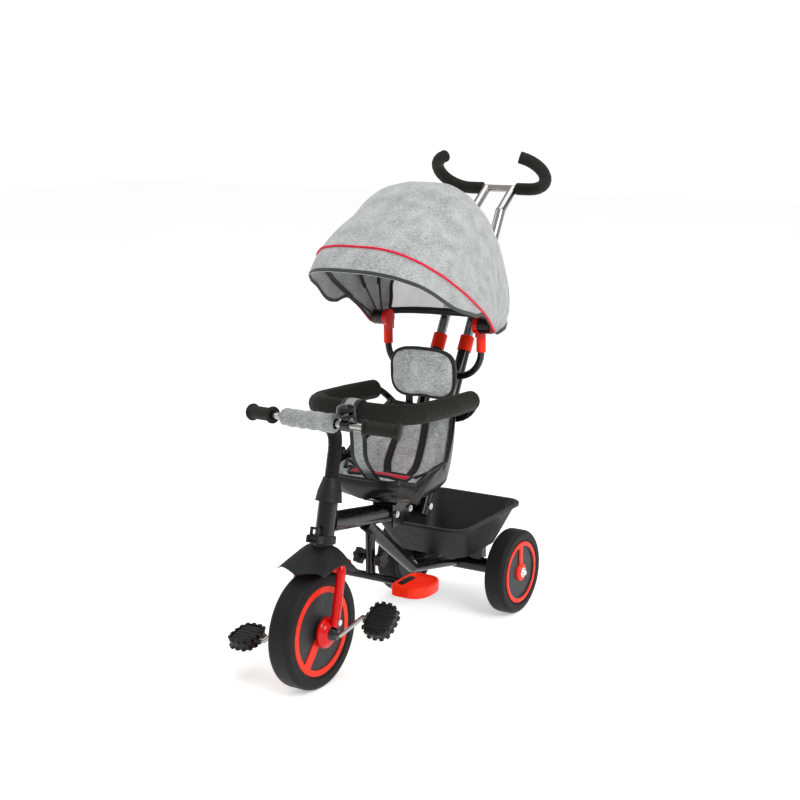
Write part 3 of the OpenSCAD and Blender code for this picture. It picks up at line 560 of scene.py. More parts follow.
NODE_FINISH = {
    "frame": ("main_frame axle_housing foot_bar seat_bracket push_sockets tub_stays ring_tubes canopy_hoop "
              "canopy_rear_bow canopy_mid_bow canopy_front_bow"),
    "bolt": "rear_axle seat_bolts leg_bolts rear_caps",
    "plastic": ("head_rings frame_knobs headrest_guides headrest_stays steer_block steer_lever pedal_left "
                "pedal_right"),
    "gloss": "bell_base bell_lever buckle",
    "tub": "tub",
    "orange": "push_collars canopy_sleeves front_trim footrest_left footrest_right",
    "red_gloss": "hinge_cups hub_covers",
    "red": "fork",
    "tube": "push_tubes handlebar crank",
    "tyre": "front_tyre rear_tyre_left rear_tyre_right",
    "disc": "front_disc rear_disc_left rear_disc_right",
    "foam": "ring_foam push_grips stem_bellows",
    "grip": "grips",
    "guard": "mudguard stem_collar",
    "shell": "seat_shell",
    # The cushion finish here is the grey cloth made lighter by painted light.
    "cloth_painted_light": "seat_cushion headrest_pad crotch_strap bar_sleeve canopy_rear canopy_mid canopy_front",
    "webbing": "harness",
}


def dress_frame():
    """Gives each carried-over node its finish."""
    for key, names in NODE_FINISH.items():
        for name in names.split():
            slots = NODES[name].data.materials
            slots.clear()
            slots.append(FINISH[key])


# ---- Soft shapes ----------------------------------------------------------------------------


def loft(name, rings, material):
    """A closed form through closed rings, rings by points by 3, with each end drawn in to its middle."""
    rings = np.asarray(rings, float)
    steps = np.array([0.0, 0.35, 0.7])[:, None, None]

    def drawn_in(ring, sizes):
        return ring.mean(0) + (ring - ring.mean(0))[None] * sizes

    whole = np.concatenate([drawn_in(rings[0], steps), rings, drawn_in(rings[-1], steps[::-1])])
    whole = np.concatenate([whole, whole[:, :1]], axis=1)
    return grid(name, row(whole), material)


EVEN_MESH = 5.0 * MM  # size of the cells that a cushion is made of before it is filled
PRESSURE = 4.0
SWELL_STEPS = 20


def swollen(obj, most):
    """The form filled like a cushion: its mesh is made even, inner pressure pushes it out for some steps, no
    point moves further than most, and one subdivision smooths it."""
    remesh = obj.modifiers.new("Even", "REMESH")
    remesh.mode = "VOXEL"
    remesh.voxel_size = EVEN_MESH
    settled(obj)
    count = len(obj.data.vertices)
    start = np.zeros(count * 3, np.float32)
    obj.data.vertices.foreach_get("co", start)
    cloth = obj.modifiers.new("Swell", "CLOTH")
    cloth.settings.use_pressure = True
    cloth.settings.uniform_pressure_force = PRESSURE
    cloth.settings.effector_weights.gravity = 0.0
    cloth.settings.quality = 4
    scene = bpy.context.scene
    for step in range(1, SWELL_STEPS + 1):
        scene.frame_set(step)
    shown = obj.evaluated_get(bpy.context.evaluated_depsgraph_get())
    end = np.zeros(count * 3, np.float32)
    shown.data.vertices.foreach_get("co", end)
    obj.modifiers.clear()
    move = (end - start).reshape(-1, 3)
    far = np.linalg.norm(move, axis=1, keepdims=True)
    move *= np.minimum(1.0, most / np.maximum(far, 1e-9))
    obj.data.vertices.foreach_set("co", (start.reshape(-1, 3) + move).ravel())
    scene.frame_set(1)
    smooth = obj.modifiers.new("Smooth", "SMOOTH")
    smooth.factor = 0.5
    smooth.iterations = 4
    fine = obj.modifiers.new("Fine", "SUBSURF")
    fine.levels = fine.render_levels = 1
    return settled(obj)


def laid_on(points, target, lift):
    """Points moved to the nearest place of a piece's surface, and off it by lift."""
    mesh = bpy.data.meshes.new("laid")
    mesh.vertices.add(len(points))
    mesh.vertices.foreach_set("co", np.asarray(points, np.float32).ravel())
    obj = bpy.data.objects.new("laid", mesh)
    bpy.context.scene.collection.objects.link(obj)
    wrap = obj.modifiers.new("Wrap", "SHRINKWRAP")
    wrap.target = target
    wrap.wrap_method = "NEAREST_SURFACEPOINT"
    wrap.wrap_mode = "ABOVE_SURFACE"
    wrap.offset = lift
    bpy.context.view_layer.update()
    shown = obj.evaluated_get(bpy.context.evaluated_depsgraph_get())
    out = np.zeros(len(points) * 3, np.float32)
    shown.data.vertices.foreach_get("co", out)
    bpy.data.objects.remove(obj)
    bpy.data.meshes.remove(mesh)
    return out.reshape(-1, 3).astype(float)


# ---- Canopy ---------------------------------------------------------------------------------

HINGE = np.array([500.0, 716.0])  # back from the front axle and up
# Angle over the front in degrees, and the cover's reach from the hinge there
REACH = np.array([[15, 396], [23.5, 394], [32.7, 379], [45, 347], [57.7, 324], [72, 330], [86, 325],
                  [100, 272], [114, 220], [128, 183], [145, 148], [162, 120], [180, 100]], float)
CANOPY_FRONT = 33.0  # angle of the front bow and the piping
CANOPY_REAR = 92.0  # angle of the rear bow and its seam
CANOPY_END = 180.0  # angle of the back edge
ARCH = 2 / 3  # power that makes the cover's arch a rounded square
WINDOW_T = (0.24, 0.76)
WINDOW_V = (0.70, 0.965)
COVER_ROWS, COVER_COLUMNS = 121, 151
MAP_SIZE = (0.95, 0.85)  # metres of cloth across the arch and from front to back, for the weave
# Each bow's casing: its body, its angle and how deep under the cover its middle lies
CASINGS = (("front", "canopy_front_part", CANOPY_FRONT, 5.6), ("middle", "canopy_mid_part", 61.0, 14.1),
           ("rear", "frame", CANOPY_REAR, 22.6))


def reach(a):
    """Reach of the cover from its hinge at angle a over the front: a table, averaged over some degrees."""
    shift = np.linspace(-7, 7, 9)
    weight = np.exp(-(shift / 4) ** 2)
    weight /= weight.sum()
    return sum(w * np.interp(a + s, REACH[:, 0], REACH[:, 1]) for s, w in zip(shift, weight))


def turn_at(t):
    """Angle across the cover at t from 0 to 1, so that equal steps of t are equal lengths of cloth."""
    q = np.linspace(-np.pi / 2, np.pi / 2, 1501)
    run = run_along(np.stack([170 * powered(np.sin(q), ARCH), 330 * np.cos(q) ** ARCH], -1))
    return np.interp(np.asarray(t) * run[-1], run, q)


def canopy(t, a, lift=0.0):
    """Point of the cover: a rounded square arch across at every angle a about the hinge line. Its half width
    and reach are x = w |sin|^(2/3) and r = R cos^(2/3); the cloth hangs a little below the hinge, puckers
    near it, waves slightly where it is slack and dips along its two seams."""
    t, a = np.broadcast_arrays(np.asarray(t, float), np.asarray(a, float))
    q = turn_at(t)
    s, c = np.sin(q), np.maximum(np.cos(q), 0) ** ARCH
    full = reach(a)
    r = full * c
    pucker = 0.9 * np.exp(-(r / 120) ** 2) * np.sin(np.radians(a) * 14 + 2.0 * np.sign(s))
    slack = 0.8 * np.sin(np.radians(a) * 9 + 3 * s) * np.sin(5.1 * q + 1.3) + 0.5 * np.sin(23 * q + a / 9.0)
    seams = 0.0
    for seam, half in ((CANOPY_REAR, 4.5), (CANOPY_FRONT, 4.0)):
        seams = seams - 1.2 * np.exp(-((a - seam) * r / 57.3 / half) ** 2) * np.clip(r / 80, 0, 1)
    off = lift + pucker + slack + seams
    w = 165.0 + off + 11.0 * (1 - (1 - c) ** 4)
    rr = (full + off) * c
    a = np.radians(a)
    hang = 15.0 * np.exp(-(r / 42) ** 2)
    return np.stack([w * powered(s, ARCH), HINGE[0] - rr * np.cos(a), HINGE[1] + rr * np.sin(a) - hang], -1)


def hem_angle(t):
    """Angle of the cover's front edge: level across the front, lower at each side lobe, then a notch where
    the front band ends and the main cloth goes on to the hinge."""
    r = reach(23.5) * np.maximum(np.cos(turn_at(t)), 0) ** ARCH
    near = np.clip((np.asarray(t) - 0.5) * 4, 0, 1)
    x = np.clip((152 - 46 * near - r) / 44, 0, 1)
    notch = x * x * (3 - 2 * x)
    lobe = 23.3 - 4.2 * np.exp(-((r - 185 + 10 * near) / (42 + 40 * near)) ** 2)
    return lobe * (1 - notch) + (CANOPY_FRONT - 0.5) * notch


def cover_angle(t, v):
    """Angle of the cover at v, from 0 at its front edge to 1 at its back edge."""
    return hem_angle(t) + (CANOPY_END - hem_angle(t)) * v


def cover_map(t, v):
    """Place in the weave of each point of the cover."""
    return np.stack(np.broadcast_arrays(MAP_SIZE[0] * t, MAP_SIZE[1] * v), -1)


def normal_at(t, a):
    """Outward direction of the cover: square to its two edge directions."""
    e = 1e-3
    dt = canopy(np.clip(t + e, 0, 1), a) - canopy(np.clip(t - e, 0, 1), a)
    da = canopy(t, a + 0.2) - canopy(t, a - 0.2)
    n = unit(np.cross(da, dt))
    out = canopy(t, a) - np.array([0, HINGE[0], HINGE[1]])
    return n * np.sign(np.sum(n * out, -1, keepdims=True))


def squared(k, power):
    """How far out a rounded square reaches at angle k: 1 / (|cos|^power + |sin|^power)^(1 / power)."""
    return 1 / (np.abs(np.cos(k)) ** power + np.abs(np.sin(k)) ** power) ** (1 / power)


def edge(name, t, a, half, thick, finish, lift):
    """A band along the cover, laid flat on it: its side is square to its path and to the cover's normal."""
    path = canopy(t, a, lift)
    across = unit(np.cross(heading(path), normal_at(t, a)))
    return ribbon(name, row(path), half, thick, across, FINISH[finish])


def fold(obj):
    """Works the piece's place into its mesh. The cloth is not bent here between the rear bow, which stays,
    and the front bow, which swings back.
    """
    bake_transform(obj)


class TRICYCLE_OT_canopy(bpy.types.Operator):
    """One stretched cover with its coloured piping, dark edge bindings, dips along its seams and rear net
    window
    """

    bl_idname = "tricycle.canopy"
    bl_label = "Canopy cover"

    def execute(self, context):
        size = context.scene.tricycle_sizes
        t = np.linspace(0, 1, COVER_COLUMNS)[None, :]
        v = np.linspace(0, 1, COVER_ROWS)[:, None]
        points = canopy(t, cover_angle(t, v))
        mt = (t[:, :-1] + t[:, 1:]) / 2
        mv = (v[:-1] + v[1:]) / 2
        hole = ((mt > WINDOW_T[0]) & (mt < WINDOW_T[1]) & (mv > WINDOW_V[0]) & (mv < WINDOW_V[1])).ravel()
        cover = piece("canopy_cover", row(points), quads(COVER_ROWS, COVER_COLUMNS)[~hole], FINISH["cloth"],
                      cover_map(t, v))
        walled(cover, size.cloth, -1.0)
        # Dark bindings along the front and back edges, and coloured piping over the front bow
        along_hem = np.linspace(0.004, 0.996, 260)
        back = np.full_like(along_hem, CANOPY_END - 1.2)
        parts = [edge(name, along_hem, angle, size.binding, 1.5 * MM, "binding", -0.7)
                 for name, angle in (("canopy_hem", hem_angle(along_hem) + 0.7), ("canopy_back_hem", back))]
        cord = np.linspace(0.006, 0.994, 260)
        path = canopy(cord, np.full_like(cord, CANOPY_FRONT), 2.0)
        parts.append(hose("canopy_piping", row(path), size.piping, normal_at(cord, CANOPY_FRONT),
                          FINISH["crimson_cord"], 12))
        # Net in the rear window, tucked a little under the cloth, and its binding
        tuck = 0.006
        nt = np.linspace(WINDOW_T[0] - tuck, WINDOW_T[1] + tuck, 70)[None, :]
        nv = np.linspace(WINDOW_V[0] - tuck, WINDOW_V[1] + tuck, 40)[:, None]
        net = grid("canopy_net", row(canopy(nt, cover_angle(nt, nv), -0.6)), FINISH["net"], cover_map(nt, nv))
        parts.append(walled(net, 0.4 * MM))
        k = np.linspace(0, 2 * np.pi, 241)
        bt = np.mean(WINDOW_T) + (np.ptp(WINDOW_T) / 2 + 0.002) * squared(k, 9) * np.cos(k)
        bv = np.mean(WINDOW_V) + (np.ptp(WINDOW_V) / 2 + 0.002) * squared(k, 9) * np.sin(k)
        parts.append(edge("canopy_net_binding", bt, cover_angle(bt, bv), 5.0 * MM, 1.3 * MM, "webbing", -0.6))
        # Casings that hold the bows to the cloth
        for name, body, angle, depth in CASINGS:
            arch = np.linspace(0.105, 0.895, 200)
            band = edge(f"bow_casing_{name}", arch, np.full_like(arch, angle), 6.0 * MM, 2.7 * MM,
                        "webbing", -depth)
            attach(band, body)
        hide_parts("canopy_front", "canopy_mid", "canopy_rear")
        fold(cover)
        for p, slot in zip(parts, ("strap_webbing", "strap_webbing", None, None, "strap_webbing")):
            fold(p)
        return {"FINISHED"}


# ---- Seat -----------------------------------------------------------------------------------

# From the front edge to the top of the back: the bowl's middle line, its share of the full width, and how far
# its sides rise
SEAT_LINE = np.array([[200, 404], [214, 366], [250, 351], [318, 348],
                      [368, 360], [396, 402], [432, 462], [470, 528]], float)
SEAT_WIDTHS = np.array([0.62, 0.86, 0.97, 1, 1, 0.95, 0.82, 0.62])
SEAT_RISES = np.array([8, 44, 72, 88, 80, 62, 40, 16], float)
SEAT_HALF = 134.0
SEAT_WALL = 4.0
AVERAGE = ((-0.08, 1), (-0.05, 2), (-0.02, 3), (0, 4), (0.02, 3), (0.05, 2), (0.08, 1))  # shifts and weights
PAD_START, PAD_SPAN, PAD_SHARE = 0.09, 0.86, 0.90  # the cushion's start, its length and share of the width
PANEL_U, PANEL_V = (0.262, 0.738), (0.115, 0.50)
BELT_HALF = 9.5
# Places across and along the seat that each left strap of the harness passes
BELTS = (("shoulder", (0.60, 0.605, 0.60, 0.575, 0.545), (0.93, 0.80, 0.68, 0.56, 0.46)),
         ("lap", (0.90, 0.82, 0.72, 0.62, 0.55), (0.56, 0.52, 0.475, 0.44, 0.42)))


def pick(table, v):
    """A value or a pair read along a table, averaged over a short stretch."""
    table = np.asarray(table, float)
    table = table[:, None] if table.ndim == 1 else table
    places = np.linspace(0, 1, len(table))

    def read(x):
        return np.stack([np.interp(np.clip(x, 0, 1), places, table[:, k]) for k in range(table.shape[1])], -1)

    out = sum(w * read(np.asarray(v) + s) for s, w in AVERAGE) / sum(w for _, w in AVERAGE)
    return out[..., 0] if out.shape[-1] == 1 else out


def seat(u, v, lift=0.0, shrink=1.0):
    """Point of the seat bowl: u across from 0 to 1, v from the front edge to the top of the back. The middle
    line is a table, the sides rise with the cube of the distance across, and lift moves the point inwards."""
    u, v, lift = np.broadcast_arrays(np.asarray(u, float), np.asarray(v, float), np.asarray(lift, float))
    c = pick(SEAT_LINE, v)
    d = unit(pick(SEAT_LINE, np.clip(v + 0.02, 0, 1)) - pick(SEAT_LINE, np.clip(v - 0.02, 0, 1)))
    e = (2 * u - 1) * shrink
    rise = pick(SEAT_RISES, v) * np.abs(e) ** 3
    lean = np.radians(62 * np.abs(e) ** 2.2)
    x = SEAT_HALF * pick(SEAT_WIDTHS, v) * np.sin(np.pi / 2 * e) - np.sign(e) * lift * np.sin(lean)
    up = rise + lift * np.cos(lean)
    return np.stack([x, c[..., 0] - d[..., 1] * up, c[..., 1] + d[..., 0] * up], -1)


def cushion_ring(v):
    """Closed ring round the cushion at v: across its top, which is crowned, sunk along its seams and fuller
    near the front, and back under it."""
    u = np.linspace(0, 1, 49)[None, :]
    v = np.asarray(v)[:, None]
    dip = 4.0 * (np.exp(-((u - 0.24) / 0.022) ** 2) + np.exp(-((u - 0.76) / 0.022) ** 2))
    dip = dip + 3.0 * np.exp(-((v - 0.50) / 0.02) ** 2) * np.exp(-((u - 0.5) / 0.3) ** 8)
    full = 25.0 * np.exp(-((v - 0.17) / 0.20) ** 4) * np.sin(np.pi * u) ** 0.3
    crown = 2.5 + 21.0 * (0.35 + 0.65 * np.sin(np.pi * u) ** 0.5)
    place = PAD_START + PAD_SPAN * v
    top = seat(u, place, crown + full - dip, PAD_SHARE)
    under = seat(u[:, ::-1], place, 4.5, PAD_SHARE)
    return np.concatenate([top, under[:, 1:-1]], axis=1)


def seat_edge(u, v):
    """Point in the middle of the bowl's wall, for its rim."""
    return seat(u, v, -SEAT_WALL / 2)


class TRICYCLE_OT_seat(bpy.types.Operator):
    """Seat bowl with its rolled rim, the stuffed cushion, its crimson panel and piping, and the harness"""

    bl_idname = "tricycle.seat"
    bl_label = "Seat and harness"

    def execute(self, context):
        size = context.scene.tricycle_sizes
        # Bowl: an inner and an outer face joined along the sides, then filled at the front and at the top
        u = np.linspace(0, 1, 81)[None, :]
        v = np.linspace(0, 1, 91)[:, None]
        inner, outer = seat(u, v), seat(u, v, -SEAT_WALL)
        bowl = grid("seat_bowl", row(np.concatenate([inner, outer[:, ::-1], inner[:, :1]], axis=1)),
                    FINISH["shell"])
        ends = bmesh.new()
        ends.from_mesh(bowl.data)
        bmesh.ops.holes_fill(ends, edges=ends.edges, sides=0)
        bmesh.ops.recalc_face_normals(ends, faces=ends.faces)
        ends.to_mesh(bowl.data)
        ends.free()
        w = np.linspace(0, 1, 60)
        rim = np.concatenate([seat_edge(0, w), seat_edge(w, 1)[1:], seat_edge(1, w[::-1])[1:],
                              seat_edge(w[::-1], 0)[1:]])
        rim = smooth_path(row(rim[::3]), 420)
        lip = hose("seat_rim", rim, 4.6 * MM, (1.0, 0.3, 0.2), FINISH["shell"], 16)
        # Front skirt: a sheet from the raised front rim down past the bowl, its lower edge in a slow wave
        half = w[:31]
        front = np.concatenate([seat_edge(0, half[::-1]), seat_edge(w, 0)[1:-1], seat_edge(1, half)])
        front = smooth_path(front[::3], 180)
        s = np.linspace(-1, 1, 180)[:, None]
        out = unit(np.cross(heading(front), (0.0, 0.0, 1.0)))
        out *= np.sign(np.sum(out * (front - np.array([0, 300, 0])) * (1, 1, 0), -1, keepdims=True))
        raised = 10.0 * (1 - s**4)
        drop = 26.0 + 9.0 * np.cos(3 * np.pi * s)
        steps = np.linspace(0, 1, 16)[None, :, None]
        down = raised[:, None] * (1 - steps) - drop[:, None] * steps * (1 - s[:, None] ** 6)
        bulge = 2.5 + 5.0 * np.sin(np.pi * steps) - 3 * steps
        sheet = front[:, None] + out[:, None] * bulge + down * np.array([0, 0, 1.0])
        skirt = walled(grid("seat_skirt", row(sheet), FINISH["shell"]), 3.0 * MM)
        top = hose("skirt_rim", row(sheet[:, 0]), 4.2 * MM, (0.2, 0.1, 1.0), FINISH["shell"], 14)
        bowl = joined("seat_bowl", [bowl, lip, skirt, top])
        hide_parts("seat_shell")
        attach(bowl, "frame")
        # Cushion, in the grey cloth made lighter by painted light
        pad = loft("seat_pad", cushion_ring(np.linspace(0, 1, 41)), FINISH["cloth_painted_light"])
        cushion = swollen(pad, size.swell)
        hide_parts("seat_cushion")
        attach(cushion, "frame")
        # Crimson panel in the middle of the seat: laid on the cushion, and crowned off it by sine times sine
        u = np.linspace(*PANEL_U, 61)[None, :]
        v = np.linspace(*PANEL_V, 49)[:, None]
        flat = row(seat(u, v, 52.0)).reshape(-1, 3)
        across, back = ((w - ends[0]) / np.ptp(ends) for w, ends in ((u, PANEL_U), (v, PANEL_V)))
        crown = 1.0 + 2.4 * np.maximum(np.sin(np.pi * across) * np.sin(np.pi * back), 0).ravel() ** 0.5
        on = laid_on(flat, cushion, 0.0)
        lifted = laid_on(flat, cushion, 1.0 * MM)
        crowned = (on + (lifted - on) * crown[:, None]).reshape(49, 61, 3)
        panel = walled(grid("seat_panel", crowned, FINISH["crimson"]), 2.4 * MM)
        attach(panel, "frame")

        def seam(name, us, vs):
            path = smooth_path(laid_on(row(seat(us, vs, 48.0)), cushion, 0.7 * MM), 260)
            cord = hose(name, path, size.seam, (0.2, 0.3, 1.0), FINISH["webbing"], 12)
            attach(cord, "frame")

        k = np.linspace(0, 2 * np.pi, 73)
        square = squared(k, 8)
        seam("seat_panel_piping", 0.5 + 0.243 * square * np.cos(k), 0.308 + 0.196 * square * np.sin(k))
        for side, label in ((-1, "right"), (1, "left")):
            arc = np.linspace(0, 2 * np.pi, 61)
            seam(f"bolster_piping_{label}", 0.5 + side * (0.355 + 0.10 * np.cos(arc)),
                 0.47 + 0.17 * np.sin(arc))
        # Harness: shoulder straps down the back, lap straps to the buckle
        for side, label in ((-1, "right"), (1, "left")):
            for part, us, vs in BELTS:
                us = 0.5 + side * (np.array(us) - 0.5)
                line = smooth_path(row(seat(us, np.array(vs), 34.0)), 60)
                path = smooth_path(laid_on(line, cushion, 2.2 * MM)[::3], 90)
                out = unit(laid_on(path, cushion, 12 * MM) - laid_on(path, cushion, 2 * MM))
                strap = ribbon(f"{part}_strap_{label}", path, BELT_HALF * MM, 1.4 * MM,
                               np.cross(heading(path), out), FINISH["webbing"])
                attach(strap, "frame")
                if (part, label) == ("shoulder", "right"):
                    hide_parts("harness")
        return {"FINISHED"}


# ---- Headrest, straps and sleeves -----------------------------------------------------------


def superellipse(half_x, half_z, power, count):
    """Closed outline (half_x * cos^(2/power), half_z * sin^(2/power)) with the signs kept. Of two powers, the
    first is for the half where the cosine is over zero."""
    k = np.linspace(0, 2 * np.pi, count + 1)
    c, s = np.cos(k), np.sin(k)
    ahead, behind = np.broadcast_to(power, 2)
    share = 2 / np.where(c > 0, ahead, behind)
    out = np.stack([half_x * powered(c, share), half_z * powered(s, share)], -1)
    out[-1] = out[0]
    return out


HEADREST_POWER = 3.4


class TRICYCLE_OT_headrest(bpy.types.Operator):
    """Stuffed headrest pad with a face of grey cloth made lighter by painted light, dark sides and a thick
    dark edge binding
    """

    bl_idname = "tricycle.headrest"
    bl_label = "Headrest"

    def execute(self, context):
        centre, (x, depth, z) = measured("headrest_pad")
        centre[0] = 0.0
        turn = np.linspace(0, np.pi, 15)
        scale = 1 - 0.055 * (1 - np.sin(turn))

        def upright(flat, y):
            return np.stack([flat[:, 0], np.full(len(flat), y), flat[:, 1]], -1) + centre

        rings = [upright(superellipse((x - 4) * s, (z - 4) * s, HEADREST_POWER, 96)[:-1], y)
                 for s, y in zip(scale, -np.cos(turn) * (depth - 1.5))]
        # The pad's face is the grey cloth made lighter by painted light.
        pad = swollen(loft("headrest_cushion", rings, FINISH["cloth_painted_light"]),
                      context.scene.tricycle_sizes.swell)
        pad.data.materials.append(FINISH["webbing"])
        count = len(pad.data.polygons)
        spot, facing = np.zeros(count * 3, np.float32), np.zeros(count * 3, np.float32)
        pad.data.polygons.foreach_get("center", spot)
        pad.data.polygons.foreach_get("normal", facing)
        dark = spot.reshape(-1, 3)[:, 1] > row(centre)[1] - 0.3 * depth * MM
        pad.data.polygons.foreach_set("material_index", dark.astype(np.int32))
        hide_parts("headrest_pad")
        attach(pad, "headrest")
        outline = upright(superellipse(x - 5.5, z - 5.5, HEADREST_POWER, 200), -0.55 * depth)
        path = laid_on(row(outline), pad, 0.6 * MM)
        cord = hose("headrest_binding", path, 4.4 * MM, (0.0, 1.0, 0.0), FINISH["webbing"], 16, end=0.2 * MM)
        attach(cord, "headrest")
        return {"FINISHED"}


RING_FRONT = (172.0, 568.0, 25.6)  # the padded ring's middle, back and up, and the strap's radius round it


class TRICYCLE_OT_crotch_strap(bpy.types.Operator):
    """Grey strap with dark edges, looped round the padded ring and sewn down to the seat's front"""

    bl_idname = "tricycle.crotch_strap"
    bl_label = "Crotch strap"

    def execute(self, context):
        k = np.radians(np.linspace(-75, 285, 120))
        y, z, radius = RING_FRONT
        loop = np.stack([0 * k, y + radius * np.cos(k), z + radius * np.sin(k)], -1)
        top = seat(np.full(3, 0.5), np.array([0.05, 0.12, 0.18]), np.array([34.0, 47.0, 52.0]))
        down = [[0, 177, 548], [0, 181.5, 536], [0, 186, 500], [0, 192, 455]]
        tail = smooth_path(np.vstack([down, top]), 120)
        parts = []
        for label, path in (("loop", loop), ("tail", tail)):
            for part, half, thick, finish in (("edge", 22.5, 1.3, "webbing"), ("face", 13.5, 1.9, "sleeve")):
                parts.append(ribbon(f"strap_{label}_{part}", row(path), half * MM, thick * MM,
                                    (1.0, 0.0, 0.0), FINISH[finish]))
        strap = joined("crotch_strap_cloth", parts)
        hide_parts("crotch_strap")
        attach(strap, "frame")
        return {"FINISHED"}


class TRICYCLE_OT_bar_sleeve(bpy.types.Operator):
    """Gathered grey cloth sleeve on the middle of the handlebar: its radius ripples along and around"""

    bl_idname = "tricycle.bar_sleeve"
    bl_label = "Handlebar sleeve"

    def execute(self, context):
        centre, half = measured("bar_sleeve")
        x0, x1 = centre[0] - half[0], centre[0] + half[0]
        s = np.linspace(0, 1, 90)
        end = np.minimum(s, 1 - s) * (x1 - x0)
        r = 12.0 + 6.6 * np.sqrt(np.clip(1 - (1 - np.clip(end / 9, 0, 1)) ** 2, 0, 1)) + 1.8 * s**2
        r[0] = r[-1] = 11.6

        def ripple(i, a):
            t = s[i]
            swell = np.clip(np.minimum(t, 1 - t) * 9, 0, 1)
            return swell * (0.9 * np.sin(a * 3 + 9 * t) * np.sin(21 * t) + 0.6 * np.sin(a * 7 + 31 * t)
                            - 1.3 * np.exp(-((t - 0.68) / 0.012) ** 2))

        sleeve = turned("sleeve_cloth", np.stack([x0 + s * (x1 - x0), r], -1), (0, *centre[1:]), (1, 0, 0),
                        FINISH["sleeve_object"], 96, ripple)
        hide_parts("bar_sleeve")
        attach(sleeve, "fork")
        return {"FINISHED"}


HEAD_LEAN = 14.5  # degrees that the stem leans back


class TRICYCLE_OT_stem(bpy.types.Operator):
    """Ridged sleeve that bends with the handlebar stem: its radius follows a rounded wave along the path"""

    bl_idname = "tricycle.stem"
    bl_label = "Stem sleeve"

    def execute(self, context):
        lean = np.radians(HEAD_LEAN)

        def axis(s):
            return np.array([0, s * np.sin(lean), AXLE_HEIGHT + s * np.cos(lean)])

        # The stem leaves the head at a and curves forward to d, over the corners b and c of a cubic
        a, b, c, d = axis(381.3), axis(381.3 + 46), np.array([0, 84.0, 554]), np.array([0, 50.0, 567])
        t = np.linspace(0, 1, 40)[1:, None]
        bend = a * (1 - t) ** 3 + 3 * b * t * (1 - t) ** 2 + 3 * c * t**2 * (1 - t) + d * t**3
        path = smooth_path(row(np.vstack([axis(305), axis(335), axis(360), a, bend[4::5]])), 420)
        pitch = context.scene.tricycle_sizes.ridge
        radius = (13.4 + 2.1 * np.abs(np.sin(np.pi * run_along(path) / pitch)) ** 0.8) * MM
        sleeve = hose("stem_sleeve", path, radius, (1.0, 0.0, 0.0), FINISH["grip"], 32)
        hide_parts("stem_bellows")
        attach(sleeve, "fork")
        return {"FINISHED"}


BAR_BEND = (92.0, 29.0, 575.0)  # where the handlebar bends to its ends
BAR_SWEEP, BAR_DROP = 17.3, 4.3  # degrees that its ends run back and down


class TRICYCLE_OT_grips(bpy.types.Operator):
    """Ribbed handlebar grips, each with a flange and a rounded end"""

    bl_idname = "tricycle.grips"
    bl_label = "Grips"

    def execute(self, context):
        sweep, drop = np.radians(BAR_SWEEP), np.radians(BAR_DROP)
        ribbed = np.linspace(29, 95, 180)
        rib = 13.2 + 1.2 * np.abs(np.sin(np.pi * (ribbed - ribbed[0]) / 5.5)) ** 0.6
        flange = [(24, 9.6), (24, 17.6), (24.6, 18.5), (27.4, 18.5), (28, 17.6), (28.4, 13.6)]
        knob = [(95.5, 14.5), (96.5, 17.5), (98.5, 18.8), (101, 18.4), (103, 16), (104.5, 12), (105.2, 7),
                (105.6, 0)]
        profile = np.concatenate([flange, np.stack([ribbed, rib], -1), knob])
        parts = []
        for side in (-1, 1):
            out = np.array([side * np.cos(sweep) * np.cos(drop), np.sin(sweep) * np.cos(drop), -np.sin(drop)])
            start = (side * BAR_BEND[0], *BAR_BEND[1:])
            parts.append(turned("grip", profile, start, out, FINISH["grip"], 48))
        grips = joined("ribbed_grips", parts)
        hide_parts("grips")
        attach(grips, "fork")
        return {"FINISHED"}


# ---- Pedals and footrests -------------------------------------------------------------------


def tilted(points, angle, centre):
    """Points turned by angle degrees about the sideways axis, then moved to centre."""
    a = np.radians(angle)
    x, y, z = points[..., 0], points[..., 1], points[..., 2]
    return np.stack([x, y * np.cos(a) - z * np.sin(a), y * np.sin(a) + z * np.cos(a)], -1) + centre


def at_height(flat, z):
    """A flat outline given its height, one for all or one for each point."""
    return np.stack([flat[:, 0], flat[:, 1], np.broadcast_to(z, len(flat))], -1)


PEDAL_PLACE = np.array([155.0, 28.2, 38.8])  # of the left pedal's middle from the front wheel's
PEDAL_TEETH = 15
# Edge of the pedal's upper half: its size, its height and how much of the teeth it has
PEDAL_EDGE = ((1, 0, 0), (0.99, 7.0, 0), (0.985, 7.6, 1), (1.0, 8.2, 1), (1.0, 10.8, 1), (0.985, 11.6, 1),
              (0.93, 12.0, 0.6), (0.88, 11.4, 0), (0.865, 9.0, 0))


def pedal(name, side, angle, body):
    """A block with square teeth round its edge and ribs on its two faces: a rounded square outline whose
    size steps in and out along it, with its height stepped across. Both steps are a tanh of a sine."""
    centre = PEDAL_PLACE * side + (0.0, 0.0, AXLE_HEIGHT)
    outline = superellipse(34.0, 41.0, 3.0, 336)
    run = run_along(outline)
    tooth = np.tanh(6 * np.sin(2 * np.pi * PEDAL_TEETH * run / run[-1]) + 1.5)
    rings = [at_height(outline * (inset * 0.94 + 0.06 * bite * tooth[:, None]), z)
             for inset, z, bite in PEDAL_EDGE]
    for inset in np.linspace(0.85, 0.0, 34):
        flat = outline * inset
        ribs = 0.5 + 0.5 * np.tanh(6 * np.sin(2 * np.pi * flat[:, 1] / 11.0))
        rise = 2.2 * ribs * np.clip((0.8 - inset) * 14, 0, 1)
        rings.append(at_height(flat, 8.8 + np.where(np.abs(flat[:, 0]) < 26, rise, 0)))
    upper = np.array(rings)
    lower = upper[::-1] * np.array([1, 1, -1])
    block = tilted(np.concatenate([lower, upper[1:]]), angle, centre)
    block[..., 0] = centre[0] + side * (block[..., 0] - centre[0])
    obj = grid(name + "_block", row(block), FINISH["plastic"])
    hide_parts(name)
    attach(obj, body)


